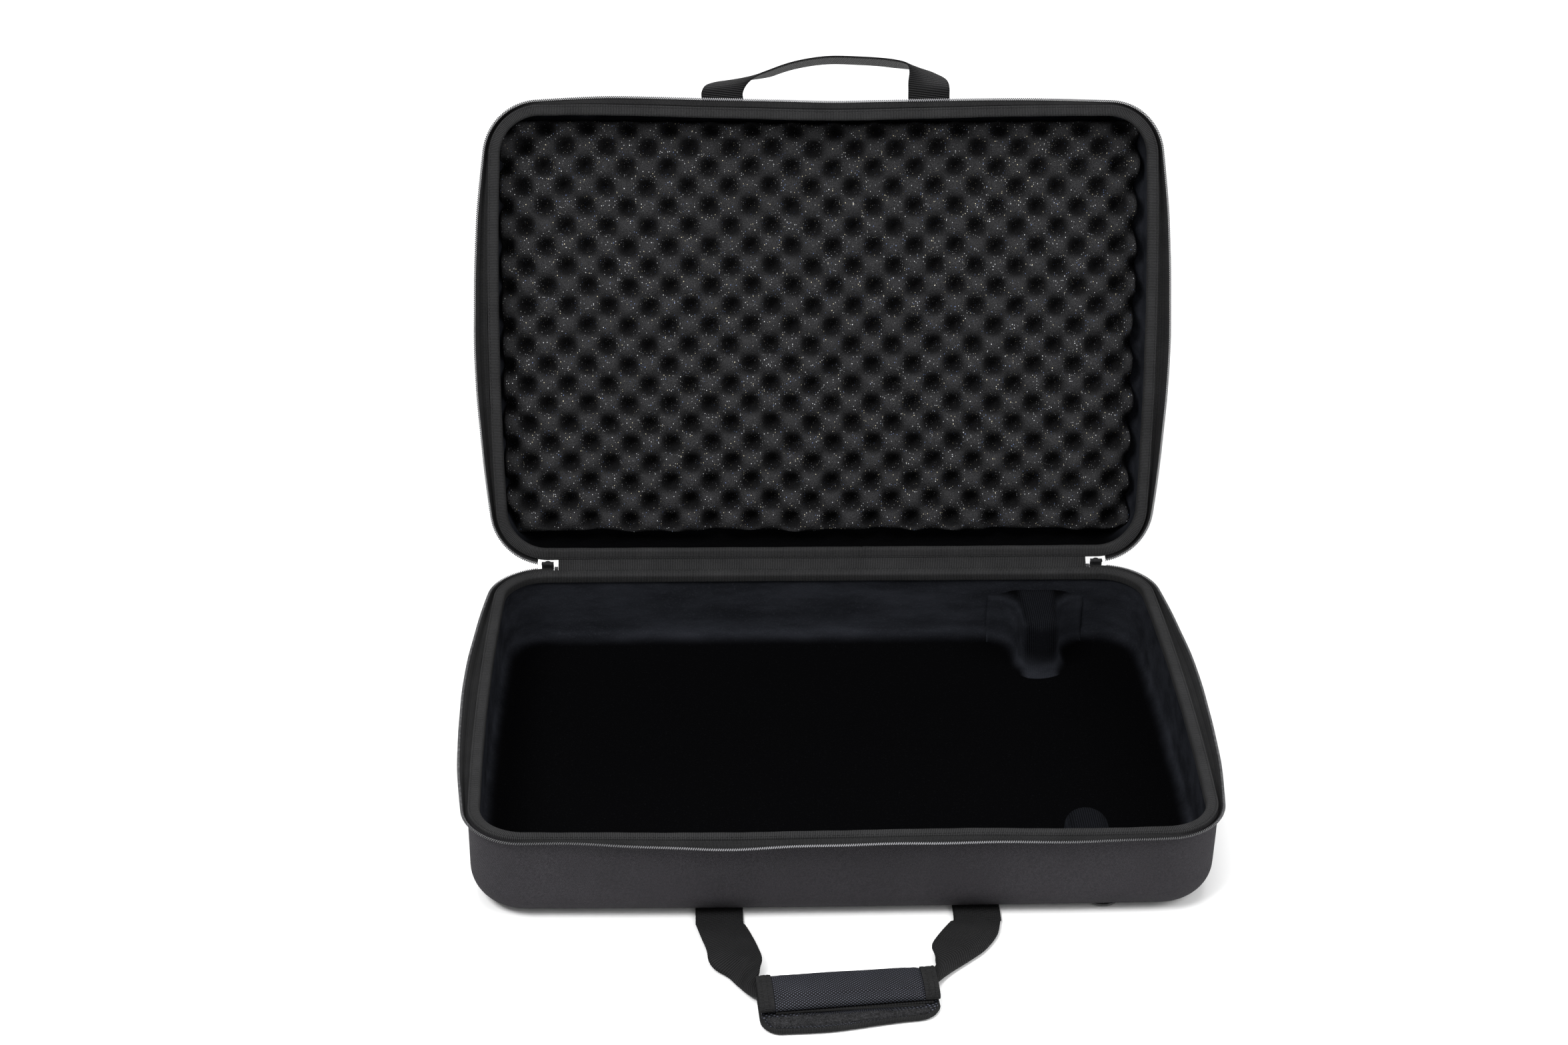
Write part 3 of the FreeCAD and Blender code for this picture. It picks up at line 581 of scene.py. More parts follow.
def stitch_mesh(points, runs, ups, length, radius, slant=0.0):
    """Thread humps: each rises out of the cloth, runs along it and dips back in."""
    sides = np.cross(ups, runs)
    runs = runs + slant * sides
    runs /= np.linalg.norm(runs, axis=1)[:, None]
    sides = np.cross(ups, runs)
    sides /= np.linalg.norm(sides, axis=1)[:, None] + 1e-12
    rows = []
    for ring in range(STITCH_RINGS):
        t = ring / (STITCH_RINGS - 1) - 0.5
        hump = math.cos(math.pi * t)
        centre = points + runs * (t * length) + ups * (radius * (1.3 * hump - 0.7))
        size = radius * (0.6 + 0.4 * hump)
        for side in range(STITCH_SIDES):
            angle = TAU * side / STITCH_SIDES
            rows.append(centre + size * (math.cos(angle) * sides + math.sin(angle) * ups))
    verts = np.stack(rows, axis=1)
    count, each = verts.shape[:2]
    faces, _ = grid_faces(STITCH_RINGS, STITCH_SIDES, wrap_columns=True)
    caps = [list(range(STITCH_SIDES)), list(range(each - STITCH_SIDES, each))]
    all_faces = []
    for index in range(count):
        shift = index * each
        all_faces += (faces + shift).tolist()
        all_faces += [[corner + shift for corner in cap] for cap in caps]
    return verts.reshape(-1, 3), all_faces


def seam(name, paths, ups, pitch=3.0, length=2.4, radius=0.32, closed=False, slant=0.0, place=as_base):
    """Rows of stitches along the paths, in one object."""
    verts, faces, shift = [], [], 0
    for path, up in zip(paths, ups):
        points, runs = resample(path, pitch, closed)
        up = np.broadcast_to(np.asarray(up, float), points.shape) if np.ndim(up) == 1 else up(points)
        placed, made = stitch_mesh(points, runs, up, length, radius, slant)
        verts.append(placed)
        faces += [[corner + shift for corner in face] for face in made]
        shift += len(placed)
    verts = place(np.concatenate(verts))
    uvs = np.concatenate([verts[face][:, [0, 1]] * MM for face in faces])
    return add_object(name, verts, faces, uvs)


# ---- swept trays --------------------------------------------------------------------------------


def sweep_rows(shape, rows, refine=1):
    """Rows of (inset, z) swept round an outline."""
    points, normals = sample_outline(shape, refine)
    swept = []
    for depth, z in rows:
        ring = points - depth * normals
        swept.append(np.column_stack([ring, np.full(len(ring), float(z))]))
    return np.array(swept)


def arc_rows(inset, z, radius, first, last, steps):
    """Rows along an arc about (inset, z); angle 0 points outwards and 90 degrees points up."""
    rows = []
    for step in range(steps + 1):
        angle = math.radians(first + (last - first) * step / steps)
        rows.append((inset - radius * math.cos(angle), z + radius * math.sin(angle)))
    return rows


def close_over(ring, rows):
    """Rows from a ring inwards to the line along its middle."""
    half = np.abs(ring[:, 0]).max() - np.abs(ring[:, 1]).max()
    spine = ring.copy()
    spine[:, 0] = np.clip(ring[:, 0], -half, half)
    spine[:, 1] = 0
    shares = (np.arange(rows) + 1) / rows
    return [ring * (1 - share) + spine * share for share in shares]


def soft_box(x, y, low, high, edge=1.6):
    """1 inside a rectangle in x and y, fading to 0 over edge millimetres."""
    def step(t):
        t = np.clip(t, 0, 1)
        return t * t * (3 - 2 * t)
    reach = 0.5 * edge
    inside = step((x - low[0] + reach) / edge) * step((high[0] - x + reach) / edge)
    return inside * step((y - low[1] + reach) / edge) * step((high[1] - y + reach) / edge)


def tray_skin(name, height, place, recesses):
    """Outer skin of a moulded tray: wall, rounded edge and big face."""
    rows = [(-0.12, height - 1.9)]
    rows += [(-0.12 + 0.12 * t, height - 1.9 - 4.4 * t) for t in (0.35, 0.7, 1.0)]
    wall_low = EDGE_FILLET
    rows += [(0, z) for z in np.linspace(height - 8, wall_low + 1, 12)]
    rows += arc_rows(EDGE_FILLET, EDGE_FILLET, EDGE_FILLET, 0, -90, 16)
    swept = list(sweep_rows(SHELL, rows))
    position = ring_length(swept[0])[:-1]
    for index, ring in enumerate(swept):
        points, normals = sample_outline(SHELL)
        share = min(1.0, ring[0, 2] / height * 1.6)
        dent = waves(position, [(0.22, 173, 0.3 + 0.08 * index), (0.14, 71, 1.9 - 0.05 * index), (0.06, 29, 0.7)])
        swept[index][:, :2] += normals * (dent * share)[:, None]
    walls = len(swept)
    swept += close_over(swept[-1], 64)
    points = np.array(swept)
    flat = points.reshape(-1, 3)
    for low, high, depth in recesses:
        inside = soft_box(flat[:, 0], flat[:, 1], low, high)
        flat[:, 2] += inside * (np.maximum(flat[:, 2], depth) - flat[:, 2])
    sag = waves(flat[:, 0], [(0.1, 190, 0.4), (0.07, 83, 2)]) * waves(flat[:, 1], [(1, 120, 0.8)])
    flat[:, 2] += np.where(flat[:, 2] < 4, np.maximum(sag, 0), 0)
    rows_n, columns = points.shape[:2]
    faces, grid = grid_faces(rows_n, columns, wrap_columns=True, flip=place is as_base)
    down = np.concatenate([[0], np.cumsum(np.linalg.norm(np.diff(points[:, 0], axis=0), axis=1))])
    around = np.concatenate([position, [ring_length(points[0])[-1]]])
    rolled = np.stack([around[grid[..., 1]], down[grid[..., 0]]], axis=2) * MM
    planar = flat[faces][..., :2] * MM
    on_wall = (grid[..., 0].max(axis=1) < walls)[:, None, None]
    uvs = np.where(on_wall, rolled, planar)
    return add_object(name, place(flat), faces, uvs.reshape(-1, 2))


def tray_lining(name, height, place):
    """Velvet inside a tray: walls that fall softly into the floor."""
    depth = WALL + LINING
    floor = BOTTOM + LINING
    rows = [(depth, z) for z in np.linspace(height - 4, floor + LINING_FILLET + 1.5, 12)]
    rows += arc_rows(depth + LINING_FILLET, floor + LINING_FILLET, LINING_FILLET, 0, -90, 12)
    swept = list(sweep_rows(SHELL, rows))
    _, normals = sample_outline(SHELL)
    position = ring_length(swept[0])[:-1]
    for index, ring in enumerate(swept):
        ripple = waves(position, [(0.3, 97, 0.2 + 0.1 * index), (0.16, 41, 1.1 - 0.12 * index),
                                  (0.07, 17, 0.5 + 0.3 * index)])
        ring[:, :2] -= normals * np.abs(ripple)[:, None]
    swept += close_over(swept[-1], 60)
    grid = np.array(swept)
    flat = grid.reshape(-1, 3)
    swell = waves(flat[:, 0], [(0.3, 151, 0.4), (0.18, 59, 2)]) * waves(flat[:, 1], [(1, 97, 0.8), (0.5, 43, 0.2)])
    flat[:, 2] += np.abs(swell)
    return grid_object(name, grid, wrap_columns=True, place=place)


def post_outline(tip_y):
    """Open outline of a post from wall to wall round its tip, with outward normals."""
    half, flare, x = 14.0, 22.0, POST_X
    sign = 1 if tip_y > 0 else -1
    root = 162.0 - flare
    nose = abs(tip_y) + half
    path, normal = [], []
    for t in np.linspace(0, 1, 4)[:-1]:
        path.append((-half - flare, 173 - t * (173 - 162)))
        normal.append((0, -1))
    for t in np.linspace(0, 90, 16):
        a = math.radians(t)
        path.append((-half - flare + flare * math.sin(a), root + flare * math.cos(a)))
        normal.append((-math.sin(a), -math.cos(a)))
    for t in np.linspace(0, 1, 8)[1:-1]:
        path.append((-half, root + t * (nose - root)))
        normal.append((-1, 0))
    for t in np.linspace(0, 90, 14):
        a = math.radians(t)
        path.append((-half * math.cos(a), nose - half * math.sin(a)))
        normal.append((-math.cos(a), -math.sin(a)))
    path = np.array(path)
    normal = np.array(normal, float)
    path = np.concatenate([path, (path[:-1] * [-1, 1])[::-1]])
    normal = np.concatenate([normal, (normal[:-1] * [-1, 1])[::-1]])
    return path, normal, x, sign


def locating_post(name, tip_y):
    """A lined post: rounded top, and a wide soft foot that runs out into the floor."""
    path, normal, middle_x, sign = post_outline(tip_y)
    floor = BOTTOM + LINING
    top, round_top, foot = 50.0, 9.0, 11.0
    rows = []
    for t in np.linspace(0, 1, 6)[:-1]:
        rows.append((-12.5 + t * 3.5, top + 0.35 - 0.35 * t * t))
    for t in np.linspace(90, 0, 10):
        a = math.radians(t)
        rows.append((-round_top + round_top * math.cos(a), top - round_top + round_top * math.sin(a)))
    for z in np.linspace(top - round_top, floor + foot, 8)[1:-1]:
        rows.append((0, z))
    for t in np.linspace(0, 90, 12):
        a = math.radians(t)
        rows.append((foot - foot * math.cos(a), floor + foot - (foot + 0.35) * math.sin(a)))
    slant = math.tan(math.radians(3))
    surface = []
    for offset, z in rows:
        spread = offset + (top - z) * slant * 0.5
        ring = path + normal * spread
        x = middle_x + ring[:, 0]
        y = sign * np.minimum(ring[:, 1], 164.6 if sign > 0 else 165.6)
        surface.append(np.column_stack([x, y, np.full(len(ring), z)]))
    surface = np.array(surface)
    spine = surface[0].copy()
    spine[:, 0] = middle_x
    fill = [spine * (1 - t) + surface[0] * t for t in (0, 0.25, 0.5, 0.75)]
    surface = np.concatenate([np.array(fill), surface])
    stretch = waves(surface[..., 0] * 0.8 + surface[..., 2] + surface[..., 1] * 0.5, [(0.16, 3.1, 0)])
    crease = np.clip((surface[..., 2] - floor - 4) / 12, 0, 1)
    surface[..., 1] -= sign * stretch * crease * 0.8
    surface[..., 2] += stretch * crease * 0.4
    return grid_object(name, surface, flip=sign > 0)


def binding_ring(name, height, place, joint_x):
    """Bound rim: tape folded over the tray's edge, with a butt joint at the rear."""
    top = height - 0.3
    low = height - 0.25 - BINDING_HEIGHT
    curl = 2.2
    rows = [(BINDING_WIDTH - 0.3, low - 0.6), (BINDING_WIDTH, low + 0.6), (BINDING_WIDTH, top - curl - 0.6)]
    rows += arc_rows(BINDING_WIDTH - curl, top - curl, curl, 180, 90, 7)
    rows += [(BINDING_WIDTH - curl - t, top + 0.03 * math.sin(t)) for t in (1.1, 2.2, 3.3)]
    rows += [(1.9, top), (1.45, top - 0.35), (1.0, top), (0.5, top - 0.1), (0.05, top - 0.55), (-0.05, top - 2.0)]
    swept = sweep_rows(SHELL, rows, refine=2)
    position = ring_length(swept[0])[:-1]
    points, normals = sample_outline(SHELL, 2)
    pucker = waves(position, [(0.05, 3.3, 0), (0.12, 61, 0.6), (0.08, 23, 1.7)])
    at_rear = points[:, 1] > 100
    seam_gap = np.exp(-((points[:, 0] - joint_x) / 0.5) ** 2) * at_rear
    lap = 1 / (1 + np.exp(-np.clip((points[:, 0] - joint_x) / 0.35, -40, 40)))
    lap = lap * np.exp(-np.maximum(points[:, 0] - joint_x, 0) / 14) * at_rear
    for index, (depth, z) in enumerate(rows):
        lift = pucker * 0.5 - 0.6 * seam_gap + 0.25 * lap
        inner = 1.0 if depth > BINDING_WIDTH - 2.3 else 0.25
        swept[index][:, :2] -= normals * (lift * inner)[:, None]
        if z > top - 1.5:
            swept[index][:, 2] += np.minimum(lift, 0.05)
    return grid_object(name, swept, wrap_columns=True, flip=False, place=place)


def flange_waves(points, position, lean):
    """How far the zip's edge strays from its even outline: (outwards, up), in millimetres."""
    x, y = points[:, 0], points[:, 1]
    front = np.clip((-y - 120) / 40, 0, 1)
    side = np.clip((np.abs(x) - 200) / 40, 0, 1) * (1 - front)
    rear = np.clip((y - 120) / 30, 0, 1)
    knots, offs = lean
    outwards = front * np.interp(x, knots, offs)
    outwards = outwards + side * waves(y, [(0.25, 118, 0.4), (0.12, 47, 1.3)]) * (1 - rear)
    outwards = outwards + 0.18 * waves(position, [(1, 13.7, 0), (0.8, 6.1, 1)]) * (1 - rear)
    up = (front + 0.4 * side) * waves(position, [(0.75, 158, 1.0), (0.45, 69, 0.2)]) * (1 - rear)
    return outwards, up


BASE_LEAN = ([-216, -192, -140, -83, 0, 74, 120, 158, 216], [0, -0.2, 0.8, 1.8, 0.2, -1.4, 0.3, 1.8, 0])
LID_LEAN = ([-216, -158, -80, 6, 70, 127, 216], [0, 0.4, -1.2, -1.8, -1.4, -1.0, 0])


def smooth_ring(values, width):
    kernel = np.hanning(2 * width + 1)
    kernel /= kernel.sum()
    padded = np.concatenate([values[-width:], values, values[:width]])
    return np.convolve(padded, kernel, "valid")


def zip_edge(up_sign, lean, refine=1):
    """Centre line of a coil: points, outward normals and lift, round the whole outline."""
    points, normals = sample_outline(ZIP, refine)
    position = ring_length(points)[:-1]
    outwards, up = flange_waves(points, position, lean)
    outwards = smooth_ring(outwards, 9 * refine)
    front_drop = 1.1 * np.clip((60 - points[:, 1]) / 160, 0, 1)
    up = smooth_ring(up, 9 * refine) * up_sign - smooth_ring(front_drop, 9 * refine)
    return points, normals, position, outwards, up


def zip_flange(name, height, place, lean, up_sign, rear_gap):
    """Ribbed tape from the shell's edge out to the coil."""
    shell_points, shell_normals = sample_outline(SHELL)
    points, normals, position, outwards, up = zip_edge(up_sign, lean)
    outer = points + normals * (outwards - COIL_WIDTH + 0.5)[:, None]
    inner = shell_points - 0.4 * shell_normals
    fold = smooth_ring(np.clip((np.abs(points[:, 0]) - 205) / 35, 0, 1), 9)
    rows = []
    for side, start, end in ((0.0, 0, 1), (-0.9, 1, 0)):
        for share in np.linspace(start, end, 14):
            flat = inner * (1 - share) + outer * share
            groove = 1.6 * math.exp(-(share / 0.13) ** 2) + 0.7 * math.exp(-((share - 0.86) / 0.08) ** 2)
            groove = groove + fold * 4.2 * math.sin(math.pi * min(1, share / 0.8)) ** 0.7
            belly = 0.3 * math.sin(math.pi * share)
            rows.append(np.column_stack([flat, height - 0.65 + side + up * share ** 1.5 - groove - belly]))
    grid = np.array(rows)
    keep = ~((points[:, 1] > 100) & (np.abs(points[:, 0]) < rear_gap))
    order = np.arange(len(points))
    start = np.argmax(keep)
    order = order[keep]
    grid = grid[:, order]
    ring = position[order]
    rows_n, columns = grid.shape[:2]
    faces, cell = grid_faces(rows_n, columns)
    width = np.array([0, *np.cumsum(np.linalg.norm(np.diff(grid[:, columns // 2], axis=0), axis=1))])
    uvs = np.stack([ring[cell[..., 1]], width[cell[..., 0]]], axis=2) * MM
    return add_object(name, place(grid).reshape(-1, 3), faces, uvs.reshape(-1, 2))


def coil_spring(name, height, place, lean, up_sign, start_x):
    """The zip's coil: one filament wound flat along the tape's edge."""
    points, normals, _, outwards, up = zip_edge(up_sign, lean)
    keep = ~((points[:, 1] > 100) & (np.abs(points[:, 0]) < start_x))
    points, normals, outwards, up = points[keep], normals[keep], outwards[keep], up[keep]
    centre = points + normals * (outwards - COIL_WIDTH / 2)[:, None]
    path = np.column_stack([centre, height - 0.25 - 0.8 + up])
    reach = np.concatenate([[0], np.cumsum(np.linalg.norm(np.diff(path, axis=0), axis=1))])
    turns = int(reach[-1] / COIL_PITCH)
    per_turn = 10
    samples = turns * per_turn + 1
    wanted = np.linspace(0, reach[-1], samples)
    core = np.stack([np.interp(wanted, reach, path[:, k]) for k in range(3)], axis=1)
    out = np.stack([np.interp(wanted, reach, normals[:, k]) for k in range(2)] + [np.zeros(samples)], axis=1)
    out /= np.linalg.norm(out, axis=1)[:, None]
    wire = 0.36
    phase = TAU * np.arange(samples) / per_turn
    spread = COIL_WIDTH / 2 - wire
    rise = 0.8 - wire
    line = core + out * (spread * np.cos(phase))[:, None]
    line[:, 2] += rise * np.sin(phase)
    run = np.gradient(line, axis=0)
    run /= np.linalg.norm(run, axis=1)[:, None]
    ahead = np.gradient(core, axis=0)
    ahead /= np.linalg.norm(ahead, axis=1)[:, None]
    side = np.cross(run, ahead)
    side /= np.linalg.norm(side, axis=1)[:, None] + 1e-9
    up_dir = np.cross(side, run)
    ring_sides = 5
    rows = [line + wire * (math.cos(TAU * k / ring_sides) * side + math.sin(TAU * k / ring_sides) * up_dir)
            for k in range(ring_sides)]
    grid = np.array(rows)
    faces, cell = grid_faces(ring_sides, samples, wrap_rows=True)
    uvs = np.stack([wanted[cell[..., 1]], cell[..., 0] * 0.4], axis=2) * MM
    return add_object(name, place(grid).reshape(-1, 3), faces, uvs.reshape(-1, 2))


# ---- foam -------------------------------------------------------------------------------------


def egg_crate_foam(name):
    """Convoluted foam sheet: rows of peaks and dimples, cut by hand along its edges."""
    left, right, front, rear = -238.2, 235.6, -155.4, 153.6
    low = BOTTOM + LINING + 0.4
    across = np.linspace(0, 1, 270)
    along = np.linspace(0, 1, 178)
    s, t = np.meshgrid(across, along)
    wobble_right = waves(t, [(0.9, 0.31, 0.5), (0.6, 0.113, 2.0)]) * (s ** 3)
    wobble_rear = waves(s, [(0.9, 0.23, 1.0), (0.7, 0.091, 0.4)]) * (t ** 3)
    x = left + (right - left) * s + wobble_right - 0.9
    y = front + (rear - front) * t + wobble_rear - 0.9
    radius = 11.0
    centre_x = np.clip(x, left + radius, right - radius)
    centre_y = np.clip(y, front + radius, rear - radius)
    gap_x, gap_y = x - centre_x, y - centre_y
    square = np.maximum(np.abs(gap_x), np.abs(gap_y))
    length = np.hypot(gap_x, gap_y) + 1e-9
    shrink = np.where((np.abs(gap_x) > 0.01) & (np.abs(gap_y) > 0.01), square / length, 1.0)
    x, y = centre_x + gap_x * shrink, centre_y + gap_y * shrink
    v = HINGE.y - y
    notch = np.exp(-((x - left) / 7) ** 2 - ((y - rear + 16) / 7) ** 2)
    x = x + 5 * notch
    stray_x = waves(y, [(0.7, 131, 0.3), (0.4, 57, 1.2)])
    stray_y = waves(x, [(0.6, 143, 0.9), (0.4, 67, 2.2)])
    egg = np.cos(TAU * (x + stray_x + 221.2) / 30.5) * np.cos(TAU * (v + stray_y - 251.6) / 29.8)
    height = (0.5 - 0.5 * egg) ** 0.62
    height = height * height * (3 - 2 * height) * 0.5 + height * 0.5
    edge = np.minimum(np.minimum(s, 1 - s) * (right - left), np.minimum(t, 1 - t) * (rear - front))
    rim = np.clip(edge / 2.0, 0, 1)
    rough = waves(x * 1.3 + y, [(0.12, 5.3, 0)]) * waves(y * 1.1 - x, [(1, 4.1, 1)])
    z = low + 3.4 + 16.7 * height + rough - 1.0 * (1 - rim) ** 2
    top = np.stack([x, y, z], axis=2)
    rows, columns = top.shape[:2]
    faces, _ = grid_faces(rows, columns)
    points = top.reshape(-1, 3)
    rim_index = ([(0, c) for c in range(columns - 1)] + [(r, columns - 1) for r in range(rows - 1)]
                 + [(rows - 1, c) for c in range(columns - 1, 0, -1)] + [(r, 0) for r in range(rows - 1, 0, -1)])
    loop = np.array([r * columns + c for r, c in rim_index])
    face_list = faces.tolist()
    previous = loop
    added = [points]
    start = len(points)
    skirt_rows = 7
    gap = np.column_stack([(gap_x * shrink).reshape(-1)[loop], (gap_y * shrink).reshape(-1)[loop]])
    diagonal = 2 * np.abs(gap[:, 0] * gap[:, 1]) / ((gap ** 2).sum(axis=1) + 1e-9)
    taper = 0.6 * gap * diagonal[:, None]     # keeps the hidden lower corners inside the lid's rounded edge
    for row in range(1, skirt_rows + 1):
        share = row / skirt_rows
        ring = points[loop].copy()
        ring[:, :2] -= taper * share
        ring[:, 2] = ring[:, 2] * (1 - share) + low * share
        ring[:, 0] += waves(np.arange(len(loop)), [(0.12, 7.7, share * 3), (0.1, 3.1, share * 5)])
        ring[:, 1] += waves(np.arange(len(loop)), [(0.12, 5.9, share * 4), (0.1, 2.7, share * 7)])
        added.append(ring)
        here = start + (row - 1) * len(loop) + np.arange(len(loop))
        for k in range(len(loop)):
            nxt = (k + 1) % len(loop)
            face_list.append([previous[k], here[k], here[nxt], previous[nxt]])
        previous = here
    face_list.append(previous[::-1].tolist())
    verts = np.concatenate(added)
    uvs = np.concatenate([verts[face][:, [2, 0]] * MM for face in face_list])
    return add_object(name, as_lid(verts), face_list, uvs)


# ---- webbing ----------------------------------------------------------------------------------


def strip_mesh(name, near, far, thickness=WEBBING_THICK, place=as_base, across=15):
    """Webbing between two edge lines, with a woven edge bead, closed all round."""
    near, far = np.asarray(near, float), np.asarray(far, float)
    share = np.linspace(0, 1, across)
    middle = near[:, None] * (1 - share[None, :, None]) + far[:, None] * share[None, :, None]
    return sheet_mesh(name, middle, thickness, place)


def sheet_mesh(name, middle, thickness, place=as_base):
    """A closed strip of the given thickness about a grid of middle points (along, across)."""
    run = np.gradient(middle, axis=0)
    side = np.gradient(middle, axis=1)
    normal = np.cross(run, side)
    normal /= np.linalg.norm(normal, axis=2)[..., None] + 1e-9
    count, across = middle.shape[:2]
    share = np.linspace(0, 1, across)
    edge = np.minimum(share, 1 - share) * (across - 1)
    profile = np.where(edge < 0.5, 0.45, 1.0)
    half = thickness / 2 * profile[None, :, None]
    upper = middle + normal * half
    lower = middle - normal * half
    loop = np.concatenate([upper, lower[:, ::-1]], axis=1)
    faces, cell = grid_faces(count, 2 * across, wrap_columns=True)
    reach = np.concatenate([[0], np.cumsum(np.linalg.norm(np.diff(middle[:, across // 2], axis=0), axis=1))])
    width = np.linalg.norm(middle[0, -1] - middle[0, 0])
    over = np.concatenate([share * width, width * 1.04 + (1 - share[::-1]) * width])
    over = np.append(over, over[-1] + width * 0.04)
    uvs = np.stack([reach[cell[..., 0]], over[cell[..., 1]]], axis=2) * MM
    ends = [list(range(2 * across))[::-1], list(range((count - 1) * 2 * across, count * 2 * across))]
    uvs = np.concatenate([uvs.reshape(-1, 2), np.zeros((4 * across, 2))])
    return add_object(name, place(loop).reshape(-1, 3), faces.tolist() + ends, uvs)


def smooth_path(points, steps):
    """A path through the points with rounded bends, evenly sampled (Catmull-Rom)."""
    points = np.asarray(points, float)
    padded = np.concatenate([2 * points[:1] - points[1:2], points, 2 * points[-1:] - points[-2:-1]])
    out = []
    for k in range(1, len(padded) - 2):
        p0, p1, p2, p3 = padded[k - 1:k + 3]
        for t in np.linspace(0, 1, 24, endpoint=False):
            out.append(0.5 * (2 * p1 + (p2 - p0) * t + (2 * p0 - 5 * p1 + 4 * p2 - p3) * t ** 2
                              + (3 * p1 - p0 - 3 * p2 + p3) * t ** 3))
    out.append(padded[-2])
    out = np.array(out)
    reach = np.concatenate([[0], np.cumsum(np.linalg.norm(np.diff(out, axis=0), axis=1))])
    wanted = np.linspace(0, reach[-1], steps)
    return np.stack([np.interp(wanted, reach, out[:, k]) for k in range(3)], axis=1)


def unit(vector):
    vector = np.asarray(vector, float)
    return vector / np.linalg.norm(vector)


def eased(t):
    t = np.clip(t, 0, 1)
    return t * t * (3 - 2 * t)


def lid_handle_strap(name):
    """Webbing sewn to the lid at both ends, standing on edge in an arch between them."""
    low = -WEBBING_THICK / 2 - 0.05
    half = WEBBING / 2
    left, right = LID_ROOTS[0] + half, LID_ROOTS[1] - half
    near = [(left, -101), (left, -140), (left, -168), (left, -177), (left + 6, -185.5), (left + 18, -192),
            (left + 38, -198.8), (left + 62, -202.6), (right - 36, -202.3), (right - 13, -200.6),
            (right - 1.5, -197.5), (right + 0.8, -192), (right, -184), (right, -177), (right, -168),
            (right, -140), (right, -101)]
    path = smooth_path([(x, y, low) for x, y in near], 300)
    reach = np.concatenate([[0], np.cumsum(np.linalg.norm(np.diff(path, axis=0), axis=1))])
    bends = np.nonzero(path[:, 1] < -176.5)[0]
    first, last = reach[bends[0]], reach[bends[-1]]
    share = np.minimum(eased((reach - first) / 30), eased((last - reach) / 33)) * math.pi / 2
    away = np.where(path[:, 0] < 3, -1.0, 1.0)[:, None] * np.array([1.0, 0, 0])
    lean = unit((0, 0.22, -0.976))
    directions = away * np.cos(share)[:, None] + lean * np.sin(share)[:, None]
    return strip_mesh(name, path, path + directions * WEBBING, place=as_lid)


def grip_place(points):
    """From the grip's own frame, about its middle, to the row frame."""
    points = np.asarray(points, float)
    cos, sin = math.cos(GRIP_TILT), math.sin(GRIP_TILT)
    placed = np.empty_like(points)
    placed[..., 0] = GRIP_CENTRE[0] + points[..., 0] * cos - points[..., 1] * sin
    placed[..., 1] = GRIP_CENTRE[1] + points[..., 0] * sin + points[..., 1] * cos
    placed[..., 2] = points[..., 2]
    return placed


CORE_Z = 6.4


def gathered_strap(name, stations, steps):
    """Webbing through stations of (inner edge, ridge, outer edge), rounded over its ridge."""
    inner, ridge, outer = (smooth_path([station[k] for station in stations], steps) for k in range(3))
    share = np.linspace(0, 1, 19)[None, :, None]
    crest = 0.66
    first = np.clip(share / crest, 0, 1)
    second = np.clip((share - crest) / (1 - crest), 0, 1)
    middle = inner[:, None] * (1 - first) + ridge[:, None] * (first - second) + outer[:, None] * second
    for _ in range(3):
        middle[:, 1:-1] = 0.5 * middle[:, 1:-1] + 0.25 * (middle[:, :-2] + middle[:, 2:])
    return sheet_mesh(name, middle, WEBBING_THICK)


def between(first, second, share=0.66):
    return tuple(a * (1 - share) + b * share for a, b in zip(first, second))


def strap_stations(edges):
    """Adds a ridge on the straight line between the edges where a station names none."""
    return [edge if len(edge) == 3 else (edge[0], between(*edge), edge[1]) for edge in edges]


SEWN_Z = 0.7 + WEBBING_THICK / 2
LEFT_LEG = strap_stations([
    ((-66.5, -101, SEWN_Z), (-97.5, -101, SEWN_Z)),
    ((-66.5, -140, SEWN_Z), (-97.5, -140, SEWN_Z)),
    ((-66.5, -173, SEWN_Z), (-97.5, -173, SEWN_Z)),
    ((-65.2, -179, 2.6), (-97.0, -178, 2.2)),
    ((-61.6, -193, 5.8), (-94.2, -191, 3.4)),
    ((-57.8, -210, 9.2), (-90.6, -206, 4.2)),
    ((-55.6, -223, 10.8), (-65.0, -222.0, 10.6), (-89.4, -215.3, 3.2)),
    ((-57.1, -230.5, 9.6), (-66.5, -229.5, 9.6), (-85.8, -222.4, 2.2)),
    ((-57.5, -234, 8.6), (-66.5, -236.0, 5.2), (-77.2, -230.4, 1.7)),
    ((-58.0, -235.5, 7.8), (-65.0, -241.0, 4.8), (-71.0, -239.5, 1.8)),
    ((-58.8, -237.0, 7.4), (-61.5, -246.0, 5.2), (-64.0, -249.5, 2.8)),
    ((-57.0, -240.0, 6.8), (-57.0, -251.0, 6.4), (-57.0, -257.0, 5.2)),
    ((-44.0, -242.0, CORE_Z), (-44.0, -260.0, CORE_Z), (-44.0, -270.0, CORE_Z)),
    ((50.0, -235.8, CORE_Z), (50.0, -253.5, CORE_Z), (50.0, -263.0, CORE_Z)),
])
